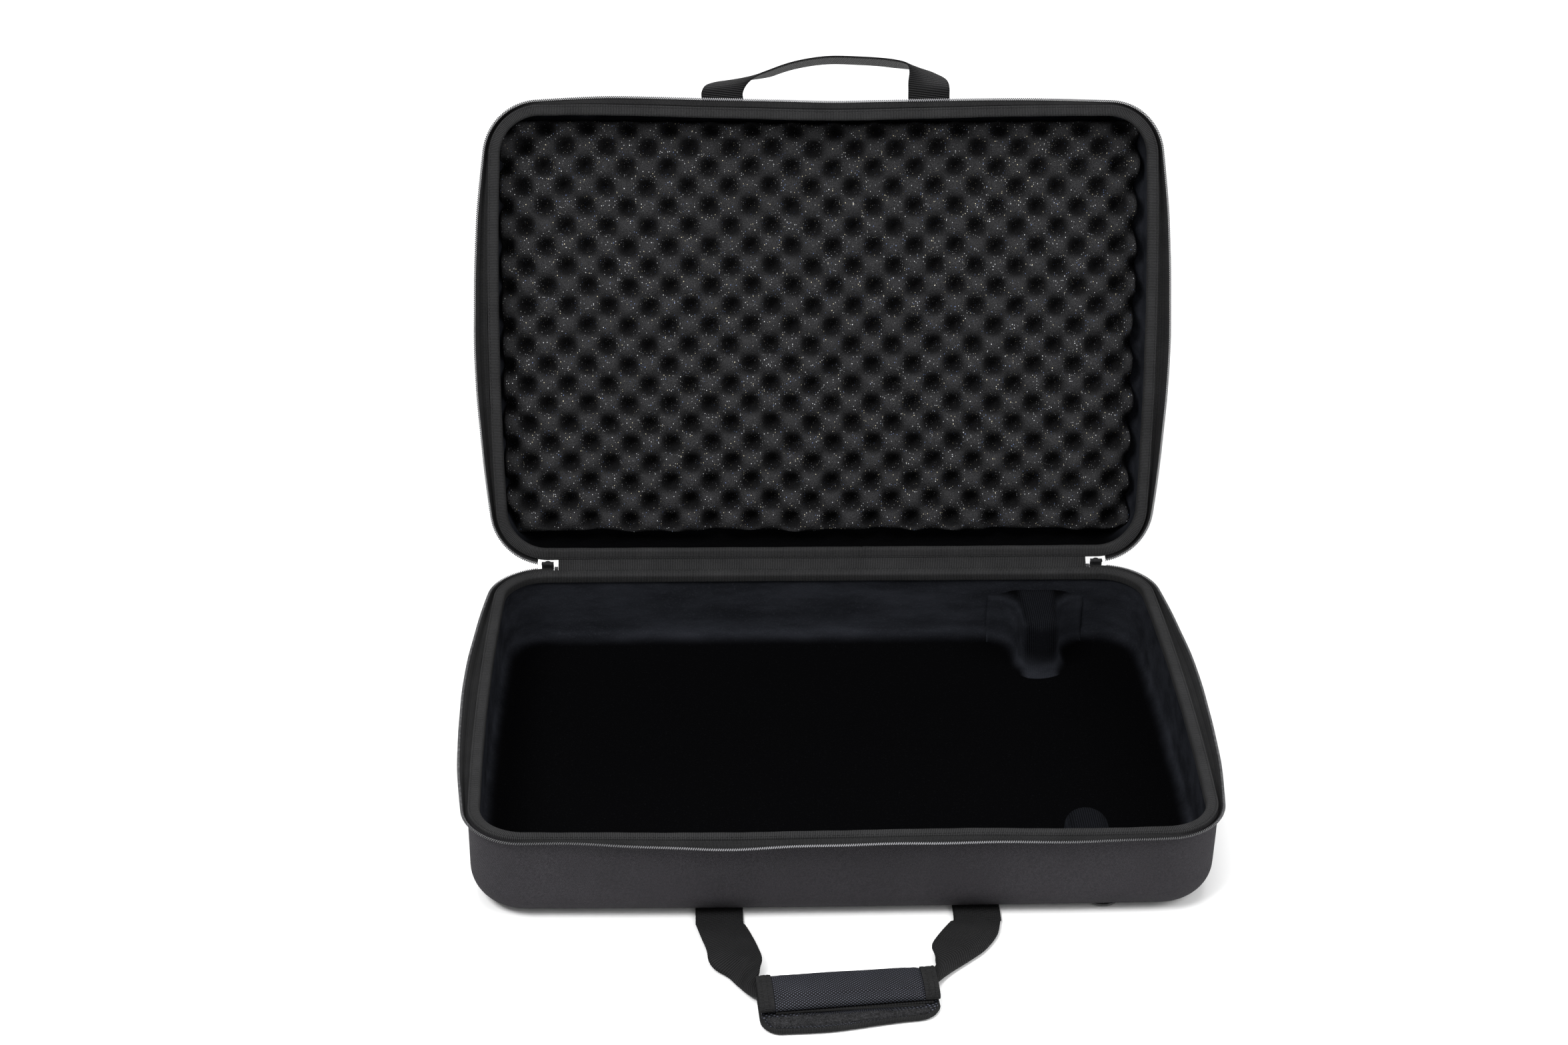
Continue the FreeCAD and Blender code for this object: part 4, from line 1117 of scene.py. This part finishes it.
RIGHT_LEG = strap_stations([
    ((70.5, -101, SEWN_Z), (101.5, -101, SEWN_Z)),
    ((70.5, -140, SEWN_Z), (101.5, -140, SEWN_Z)),
    ((70.5, -173, SEWN_Z), (101.5, -173, SEWN_Z)),
    ((68.0, -178, 2.8), (92.0, -178, 3.4), (100.6, -177.0, 2.4)),
    ((61.6, -191, 6.2), (86.0, -196, 8.4), (97.0, -192.0, 2.4)),
    ((54.6, -205.5, 8.8), (77.0, -211, 9.6), (87.5, -207.0, 2.2)),
    ((52.8, -213, 9.8), (67.0, -220, 9.8), (75.5, -218.5, 2.2)),
    ((54.2, -221, 9.6), (60.0, -226.5, 9.0), (65.5, -227.5, 2.4)),
    ((54.4, -227, 8.8), (56.0, -231.5, 7.2), (57.5, -236.5, 3.4)),
    ((52.0, -231, 7.6), (51.0, -240, 6.2), (50.5, -247, 5.0)),
    ((40.0, -236, CORE_Z - 1.7), (40.0, -251, CORE_Z - 1.7), (40.0, -260, CORE_Z - 1.7)),
])


# ---- grip ---------------------------------------------------------------------------------------


def cover_height(y, lift=0.0):
    """Height of the cover's outer face across the grip."""
    share = np.clip((y + 15.5) / 31.7, 0, 1)
    crown = math.sin(math.pi * min(1.0, share * 0.94 + 0.05))
    return 10.8 + lift + 1.0 * share + 2.6 * crown ** 0.8


def cover_profile(grow):
    """Closed section of the cover, front bottom first: (y, z)."""
    low = 7.6
    rows = [(-13.5, low), (-14.7, low + 0.1), (-15.5 - grow * 0.4, low + 0.7), (-15.7 - grow * 0.6, low + 1.7)]
    for y in np.linspace(-15.3, 15.0, 22):
        rows.append((y, cover_height(y, grow)))
    rows += [(16.0, 11.0 + grow), (16.6, 9.8), (16.5, 8.6), (15.8, 7.8), (14.6, low)]
    for y in np.linspace(12.5, -12, 7):
        rows.append((y, low))
    return np.array(rows)


def front_slack(x, y):
    """The cover's front edge draws back towards its right end."""
    return 3.6 * (x + GRIP_HALF) / (2 * GRIP_HALF) * float(np.clip(-y / 15.5, 0, 1))


def cover_skin(name):
    """Padded woven cover with a pressed crease along its front third and puckers at the seams."""
    start, end = -47.8, 47.8
    along = np.linspace(start, end, 120)
    profile = cover_profile(0.0)
    grid = np.zeros((len(along), len(profile), 3))
    for i, x in enumerate(along):
        near_end = min(x - start, end - x)
        sink = 0.9 * math.exp(-near_end / 3.2)
        pucker = 0.22 * math.sin(x * 0.9) * math.exp(-near_end / 9)
        for j, (y, z) in enumerate(profile):
            upper = 1.0 if 3 <= j <= 27 else 0.0
            y += front_slack(x, y)
            crease = -0.75 * math.exp(-((y + 7.6 - 0.02 * x) / 1.3) ** 2) + 0.45 * math.exp(-((y + 5.2) / 1.6) ** 2)
            swell = 0.25 * math.sin(x / 19 + 0.6) + 0.16 * math.sin(x / 7.3 + y / 5)
            grid[i, j] = (x, y, z + upper * (crease + swell * 0.8 - sink + pucker))
    return grid_object(name, grid, wrap_columns=True, caps=True, place=grip_place)


def end_binding(name, side):
    """Bound end of the cover, gathered by its stitching."""
    along = np.linspace(0, 9.4, 24)
    profile = cover_profile(0.45)
    centre_y = 0.3
    grid = np.zeros((len(along), len(profile), 3))
    for i, a in enumerate(along):
        x = side * (GRIP_HALF - a)
        shrink = 0.9 * max(0.0, 1 - a / 1.4) ** 2
        for j, (y, z) in enumerate(profile):
            upper = 1.0 if 3 <= j <= 27 else 0.0
            y += front_slack(x, y)
            fold = 0.22 * math.sin(y * 1.25 + a * 0.5 + side) + 0.14 * math.sin(y * 2.6 - a * 0.8)
            rows = -0.35 * math.exp(-((a - 2.6) / 0.55) ** 2) - 0.35 * math.exp(-((a - 6.4) / 0.55) ** 2)
            grid[i, j] = (x, centre_y + (y - centre_y) * (1 - 0.03 * shrink),
                          z + upper * (fold * (1 - 0.5 * shrink) + rows - shrink * 0.6))
    return grid_object(name, grid, wrap_columns=True, caps=True, flip=side > 0, place=grip_place)


LOWER_LOW = 1.2


def flap_outline(inset):
    """Closed outline of the lower half: straight at the rear, rounded at the flap's corners."""
    half = GRIP_HALF - inset
    rear, front, radius = 17.0 - inset * 0.3, -31.0 + inset, 13.5 - inset * 0.6
    path = []
    for x in np.linspace(half, -half, 50)[:-1]:
        path.append((x, rear))
    for y in np.linspace(rear, front + radius, 18)[:-1]:
        path.append((-half, y))
    for t in np.linspace(180, 270, 14)[:-1]:
        a = math.radians(t)
        path.append((-half + radius + radius * math.cos(a), front + radius + radius * math.sin(a)))
    for x in np.linspace(-half + radius, half - radius, 40)[:-1]:
        path.append((x, front + 0.4 * math.sin(x / 13.0)))
    for t in np.linspace(270, 360, 14)[:-1]:
        a = math.radians(t)
        path.append((half - radius + radius * math.cos(a), front + radius + radius * math.sin(a)))
    for y in np.linspace(front + radius, rear, 18)[:-1]:
        path.append((half, y))
    path = np.array(path)
    drawn_back = 2.2 + 6.0 * eased((path[:, 0] + 20) / 76)
    path[:, 1] += drawn_back * np.clip((-path[:, 1] - 4) / 20, 0, 1)
    return path


def lower_skin(name):
    """Lower half of the wrap with its closing flap, filled and quilted."""
    rings = []
    spine_scale = [1.0, 0.985, 0.95, 0.88, 0.78, 0.64, 0.48, 0.3, 0.12]
    outline = flap_outline(1.4)
    centre = np.array([0.0, -6.0])
    def height(y):
        share = np.clip((y + 18.5) / 4.5, 0, 1)
        return 2.6 + 1.8 * share * share * (3 - 2 * share)
    def ring(scale, z_of):
        flat = centre + (outline - centre) * scale
        return np.column_stack([flat, z_of(flat)])
    def top(flat):
        return LOWER_LOW + height(flat[:, 1]) + 0.15 * np.sin(flat[:, 0] / 6) * np.cos(flat[:, 1] / 5)
    def bottom(flat):
        return LOWER_LOW + 0.1 + 0.12 * np.abs(np.sin(flat[:, 0] / 9))
    for scale in reversed(spine_scale):
        rings.append(ring(scale, bottom))
    rings.append(ring(1.008, lambda flat: (top(flat) + bottom(flat)) / 2))
    for scale in spine_scale:
        rings.append(ring(scale, top))
    grid = np.array(rings)
    return grid_object(name, grid, wrap_columns=True, flip=True, place=grip_place)


def piping_ring(name):
    """Satin binding folded over the flap's edge and the ends of the lower half."""
    outline = flap_outline(0.0)
    outline = outline[49:]
    forward = np.gradient(outline, axis=0)
    forward /= np.linalg.norm(forward, axis=1)[:, None]
    inward = np.column_stack([-forward[:, 1], forward[:, 0]])
    section = [(3.0, 0.9), (2.0, 1.55), (1.0, 1.7), (0.2, 1.3), (-0.1, 0.2), (0.2, -1.1), (1.0, -1.5),
               (2.0, -1.5), (3.0, -1.1)]
    rows = []
    reach = ring_length(outline)[:-1]
    pucker = 0.1 * np.sin(reach * 1.1) + 0.08 * np.sin(reach * 0.37 + 1)
    for depth, z in section:
        flat = outline + inward * (depth + 0.2 * pucker)[:, None]
        rows.append(np.column_stack([flat, LOWER_LOW + 1.35 + z * (1 + pucker * 0.8)]))
    grid = np.array(rows)
    return grid_object(name, grid, wrap_rows=True, caps=True, place=grip_place)


def fuzz_strip(name, seed):
    """Loop tape along the flap, as a base with a nap of bent fibres."""
    rng = np.random.default_rng(seed)
    low = LOWER_LOW + 2.6
    front, rear = -27.2, -15.8
    def half_width(y):
        return 42.0 + np.sqrt(110 - np.clip(-17.5 - y, 0, 10) ** 2)
    s, t = np.meshgrid(np.linspace(-1, 1, 100), np.linspace(front, rear, 14))
    length = half_width(t)
    s = s * length
    def drawn(x, y):
        return y + (2.2 + 5.4 * eased((x + 20) / 76)) * np.clip((-y - 4) / 20, 0, 1)
    edge = np.minimum(np.minimum(s + length, length - s), np.minimum(t - front, rear - t))
    z = low + 0.9 * np.clip(edge / 1.2, 0, 1) ** 0.5 + 0.12 * rng.standard_normal(s.shape) * (edge > 0.5)
    grid = np.stack([s, drawn(s, t), z], axis=2)
    verts = [grid.reshape(-1, 3)]
    faces = grid_faces(*s.shape)[0].tolist()
    shift = s.size
    fibres = 5200
    where = np.column_stack([rng.uniform(-1, 1, fibres), rng.uniform(front, rear, fibres)])
    where[:, 0] *= half_width(where[:, 1])
    where[:, 1] = drawn(where[:, 0], where[:, 1])
    lean = rng.uniform(0, TAU, fibres)
    reach = rng.uniform(0.6, 1.5, fibres)
    tall = rng.uniform(0.3, 0.75, fibres)
    across = np.column_stack([-np.sin(lean), np.cos(lean), np.zeros(fibres)]) * 0.075
    ahead = np.column_stack([np.cos(lean), np.sin(lean), np.zeros(fibres)])
    rows = []
    for t in (0.0, 0.33, 0.67, 1.0):
        core = np.column_stack([where, np.full(fibres, low + 0.75)]) + ahead * (reach * (t - 0.5))[:, None]
        core[:, 2] += tall * math.sin(math.pi * t)
        rows += [core - across, core + across]
    blades = np.stack(rows, axis=1)
    for index in range(fibres):
        at = shift + index * 8
        for k in (0, 2, 4):
            faces.append([at + k, at + k + 1, at + k + 3, at + k + 2])
    verts.append(blades.reshape(-1, 3))
    verts = np.concatenate(verts)
    uvs = np.concatenate([verts[face][:, [0, 1]] * MM for face in faces])
    return add_object(name, grip_place(verts), faces, uvs)


# ---- build ---------------------------------------------------------------------------------------

base_recesses = []
for root_x in BASE_ROOTS:
    base_recesses.append(((root_x - 16.2, -190), (root_x + 16.2, -100.4), 2.45))
for side in (-1, 1):
    base_recesses.append(((side * 170.8 - 15, -190), (side * 170.8 + 15, -104), 4.3))

finish_piece(tray_skin("base_shell_skin", BASE_HEIGHT, as_base, base_recesses), "base", TWILL,
             ("base_shell",))
finish_piece(tray_skin("lid_shell_skin", LID_HEIGHT, as_lid, []), "lid", TWILL, ("lid_shell",))
finish_piece(tray_lining("base_velvet", BASE_HEIGHT, as_base), "base", VELVET, ("base_lining",))
finish_piece(tray_lining("lid_velvet", LID_HEIGHT, as_lid), "lid", VELVET, ("lid_lining",))
finish_piece(locating_post("post_rear_velvet", 115.0), "base", POST_VELVET, ("post_rear",))
finish_piece(locating_post("post_front_velvet", -112.0), "base", POST_VELVET, ("post_front",))
finish_piece(binding_ring("base_rim_tape", BASE_HEIGHT, as_base, 72.0), "base", BINDING,
             ("base_rim_binding",))
finish_piece(binding_ring("lid_rim_tape", LID_HEIGHT, as_lid, 30.0), "lid", BINDING,
             ("lid_rim_binding",))
finish_piece(zip_flange("base_tape", BASE_HEIGHT, as_base, BASE_LEAN, 1, 202.5), "base", TAPE,
             ("base_zip_tape",))
finish_piece(zip_flange("lid_tape", LID_HEIGHT, as_lid, LID_LEAN, -1, 212.8), "lid", TAPE,
             ("lid_zip_tape",))
finish_piece(coil_spring("base_coil", BASE_HEIGHT, as_base, BASE_LEAN, 1, 212.8), "base", COIL,
             ("base_zip_coil",))
finish_piece(coil_spring("lid_coil", LID_HEIGHT, as_lid, LID_LEAN, -1, 212.8), "lid", COIL,
             ("lid_zip_coil",))

# stitches along both rims, between the binding and the tape
for owner, height, place in (("base", BASE_HEIGHT, as_base), ("lid", LID_HEIGHT, as_lid)):
    rim_points, rim_normals = sample_outline(SHELL)
    path = np.column_stack([rim_points - 1.45 * rim_normals, np.full(len(rim_points), height - 0.42)])
    rim_seam = seam(owner + "_rim_seam", [path], [(0, 0, 1)], pitch=3.1, length=2.7, radius=0.24, closed=True,
                    slant=0.12, place=place)
    finish_piece(rim_seam, owner, THREAD)

# the fabric hinge
hinge_rows = []
for x in np.linspace(-199, 199, 150):
    sag = 0.25 * math.sin(x / 23) + 0.15 * math.sin(x / 7.7)
    base_edge = np.array([x, 168.6, BASE_HEIGHT - 0.9])
    lid_edge = as_lid(np.array([x, 168.6, LID_HEIGHT - 0.9]))
    bend = np.array([x, HINGE.y - 0.9, HINGE.z + 0.35 + 0.3 * sag])
    middle_row = []
    for t in np.linspace(0, 1, 17):
        middle_row.append((1 - t) ** 2 * base_edge + 2 * t * (1 - t) * bend + t ** 2 * lid_edge)
    hinge_rows.append(middle_row)
hinge_strip = sheet_mesh("hinge_strip", np.array(hinge_rows), 0.9)
finish_piece(hinge_strip, None, HINGE_CLOTH, ("hinge_leaf_base", "hinge_leaf_lid"))
tuple(as_lid(np.array([0, 170.0, 48.6])) * MM)
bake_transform(hinge_strip)

foam = egg_crate_foam("lid_foam")
finish_piece(foam, "lid", FOAM, ("lid_foam_pad",))

# lid handle: one strap, turned from flat onto its edge for the arch
lid_strap = lid_handle_strap("lid_handle_strap")
finish_piece(lid_strap, None, WEB, ("lid_handle_anchors", "lid_handle_webbing"))
swing_start = as_lid(np.array([3, -172.0, -0.8])) * MM
swing_end = as_lid(np.array([3, -182.0, -0.8])) * MM
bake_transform(lid_strap)

# front handle: two folded legs
left_leg = gathered_strap("front_strap_left", LEFT_LEG, 300)
right_leg = gathered_strap("front_strap_right", RIGHT_LEG, 240)
finish_piece(left_leg, None, WEB,
             ("base_handle_anchors", "base_handle_leg_left", "grip_webbing_core"))
finish_piece(right_leg, None, WEB, ("base_handle_leg_right",))
for leg in (left_leg, right_leg):
    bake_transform(leg)

# box-and-cross stitching on the sewn ends
def box_cross(roots, z):
    paths = []
    for root_x in roots:
        half = WEBBING / 2 - 3
        rear, front = -104.0, -134.0
        corners = [(root_x - half, rear, z), (root_x + half, rear, z), (root_x + half, front, z),
                   (root_x - half, front, z)]
        for first, second in ((0, 1), (1, 2), (2, 3), (3, 0), (0, 2), (1, 3)):
            paths.append([corners[first], corners[second]])
    return paths


base_paths = box_cross(BASE_ROOTS, 0.62)
base_stitches = seam("base_strap_stitches", base_paths, [(0, 0, -1)] * len(base_paths), pitch=2.6, length=2.3)
finish_piece(base_stitches, "base", THREAD, ("base_handle_stitching",))
lid_paths = box_cross(LID_ROOTS, -1.7)
lid_stitches = seam("lid_strap_stitches", lid_paths, [(0, 0, -1)] * len(lid_paths), pitch=2.6, length=2.3,
                    place=as_lid)
finish_piece(lid_stitches, "lid", THREAD, ("lid_handle_stitching",))

# the wrap grip
cover = cover_skin("grip_cover_cloth")
finish_piece(cover, "grip_cover", NYLON, ("grip_cover_panel", "grip_cover_foam"))
for side, label in ((-1, "left"), (1, "right")):
    bound = end_binding("grip_end_binding_" + label, side)
    replaced = ("grip_cover_bindings",) if side < 0 else ()
    finish_piece(bound, "grip_cover", PIPING, replaced)
cover_paths = []
for side in (-1, 1):
    for a in (2.6, 6.4):
        cover_paths.append([(side * (GRIP_HALF - a), y, cover_height(y, 0.35) - 0.1)
                            for y in np.linspace(-14.5, 14.5, 24)])
cover_seams = seam("grip_cover_seams", cover_paths, [(0, 0, 1)] * 4, pitch=2.4, length=2.0, radius=0.26,
                   place=grip_place)
finish_piece(cover_seams, "grip_cover", THREAD)
lower = lower_skin("grip_lower_cloth")
finish_piece(lower, "base_handle", NYLON, ("grip_lower_panel",))
finish_piece(piping_ring("grip_flap_binding"), "base_handle", PIPING, ("grip_lower_binding",))
flap_path = flap_outline(2.6)[52:-4]
flap_seam = seam("grip_flap_seam", [np.column_stack([flap_path, np.full(len(flap_path), LOWER_LOW + 2.75)])],
                 [(0, 0, 1)], pitch=2.4, length=2.0, radius=0.24, place=grip_place)
finish_piece(flap_seam, "base_handle", THREAD)
finish_piece(fuzz_strip("grip_loop_pile", 7), "base_handle", FUZZ, ("grip_loop_strip",))

# the fold behind the grip, where the cover hinges on the lower half
fold_rows = []
for x in np.linspace(-46, 46, 60):
    row = []
    for t in np.linspace(-95, 95, 15):
        a = math.radians(t)
        bulge = 2.7 + 0.15 * math.sin(x / 3.1)
        row.append((x, 15.6 + bulge * math.cos(a), 6.6 + 3.0 * math.sin(a)))
    fold_rows.append(row)
fold = sheet_mesh("grip_fold", np.array(fold_rows), 0.8, place=grip_place)
finish_piece(fold, None, NYLON)
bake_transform(fold)

# ring tabs
for side, label in ((-1, "left"), (1, "right")):
    path = [(-106, 3.95), (-115, 3.95), (-125, 3.95), (RING_BAR.y + 5, 3.9), (RING_BAR.y + 2, 4.0)]
    for t in np.linspace(60, 300, 13):
        a = math.radians(t)
        path.append((RING_BAR.y + 1.75 * math.cos(a), RING_BAR.z + 1.75 * math.sin(a)))
    path += [(RING_BAR.y + dy, z) for dy, z in ((2.5, 1.9), (5.0, 2.9), (9.0, 3.2), (13.5, 3.2))]
    middle = []
    for y, z in smooth_path([(0, y, z) for y, z in path], 90)[:, 1:]:
        middle.append([(side * 170.8 - 7 + 14 * share, y, z) for share in np.linspace(0, 1, 9)])
    tab = sheet_mesh("ring_tab_" + label, np.array(middle), 0.6)
    finish_piece(tab, "base", WEB, ("d_ring_tabs",) if side < 0 else ())

# metal and moulded parts keep their CAD shape
for node, slot, material, width in (
        ("slider_left", "slider_metal", METAL, 0.12), ("slider_right", "slider_metal", METAL, 0.12),
        ("pull_left", "slider_metal", METAL, 0.15), ("pull_right", "slider_metal", METAL, 0.15),
        ("d_ring_left", "ring_metal", METAL, 0), ("d_ring_right", "ring_metal", METAL, 0),
        ("zip_stops", "zip_coil", COIL, 0.2), ("grip_hook_strip", "hook_loop", HOOKS, 0.05)):
    part = frame["nodes"][node]
    part.data.materials.clear()
    part.data.materials.append(material)
    if width:
        modifier(part, "BEVEL", width=width * MM, segments=3, limit_method="ANGLE", angle_limit=math.radians(40))

# ---- camera, floor and light ------------------------------------------------------------------

camera_data = bpy.data.cameras.new("camera")
camera_data.lens = 59.39
camera_data.sensor_width = 36.0
camera = bpy.data.objects.new("camera", camera_data)
camera.matrix_world = Matrix.Identity(4)


def turn(angle):
    return np.array([[math.cos(angle), -math.sin(angle), 0], [math.sin(angle), math.cos(angle), 0], [0, 0, 1]])


TILT, PAN, ROLL = 0.5101, 0.0399, 0.0139
CAMERA_PLACE = (-0.0971, -1.5128, 1.04825)
forward = np.array([0, math.cos(TILT), -math.sin(TILT)])
rightward = np.array([1.0, 0, 0])
axes = turn(ROLL) @ np.array([rightward, np.cross(forward, rightward), forward]) @ turn(PAN)
pose = Matrix.Identity(4)
for column, axis in enumerate((axes[0], -axes[1], -axes[2])):
    for row in range(3):
        pose[row][column] = axis[row]
pose.translation = CAMERA_PLACE
camera.matrix_world = pose
bpy.context.scene.collection.objects.link(camera)
bpy.context.scene.camera = camera

floor_mesh = bpy.data.meshes.new("floor")
floor_mesh.from_pydata([(-6, -6, 0), (6, -6, 0), (6, 6, 0), (-6, 6, 0)], [], [(0, 1, 2, 3)])
floor = bpy.data.objects.new("floor", floor_mesh)
bpy.context.scene.collection.objects.link(floor)
floor.data.materials.append(floor_material())


def soft_light(name, where, target, size, power):
    data = bpy.data.lights.new(name, "AREA")
    data.energy = power
    data.shape = "RECTANGLE"
    data.size, data.size_y = size
    light = bpy.data.objects.new(name, data)
    light.location = where
    light.rotation_euler = (Vector(target) - Vector(where)).to_track_quat("-Z", "Y").to_euler()
    bpy.context.scene.collection.objects.link(light)
    return light


soft_light("key", (-1.1, -0.9, 1.9), (0, 0, 0.1), (1.0, 0.7), 44)
soft_light("fill", (1.5, -0.8, 1.3), (0, 0, 0.15), (1.2, 1.2), 22)
soft_light("back", (0.1, 1.6, 1.7), (0, 0.1, 0.2), (2.0, 0.9), 22)
soft_light("top", (0.0, -0.1, 2.3), (0, 0, 0), (1.6, 1.2), 26)

world = bpy.data.worlds.new("studio")
bpy.context.scene.world = world
world.use_nodes = True
world.node_tree.nodes["Background"].inputs[0].default_value = (1, 1, 1, 1)
world.node_tree.nodes["Background"].inputs[1].default_value = 0.5
bpy.context.scene.view_settings.view_transform = "Standard"
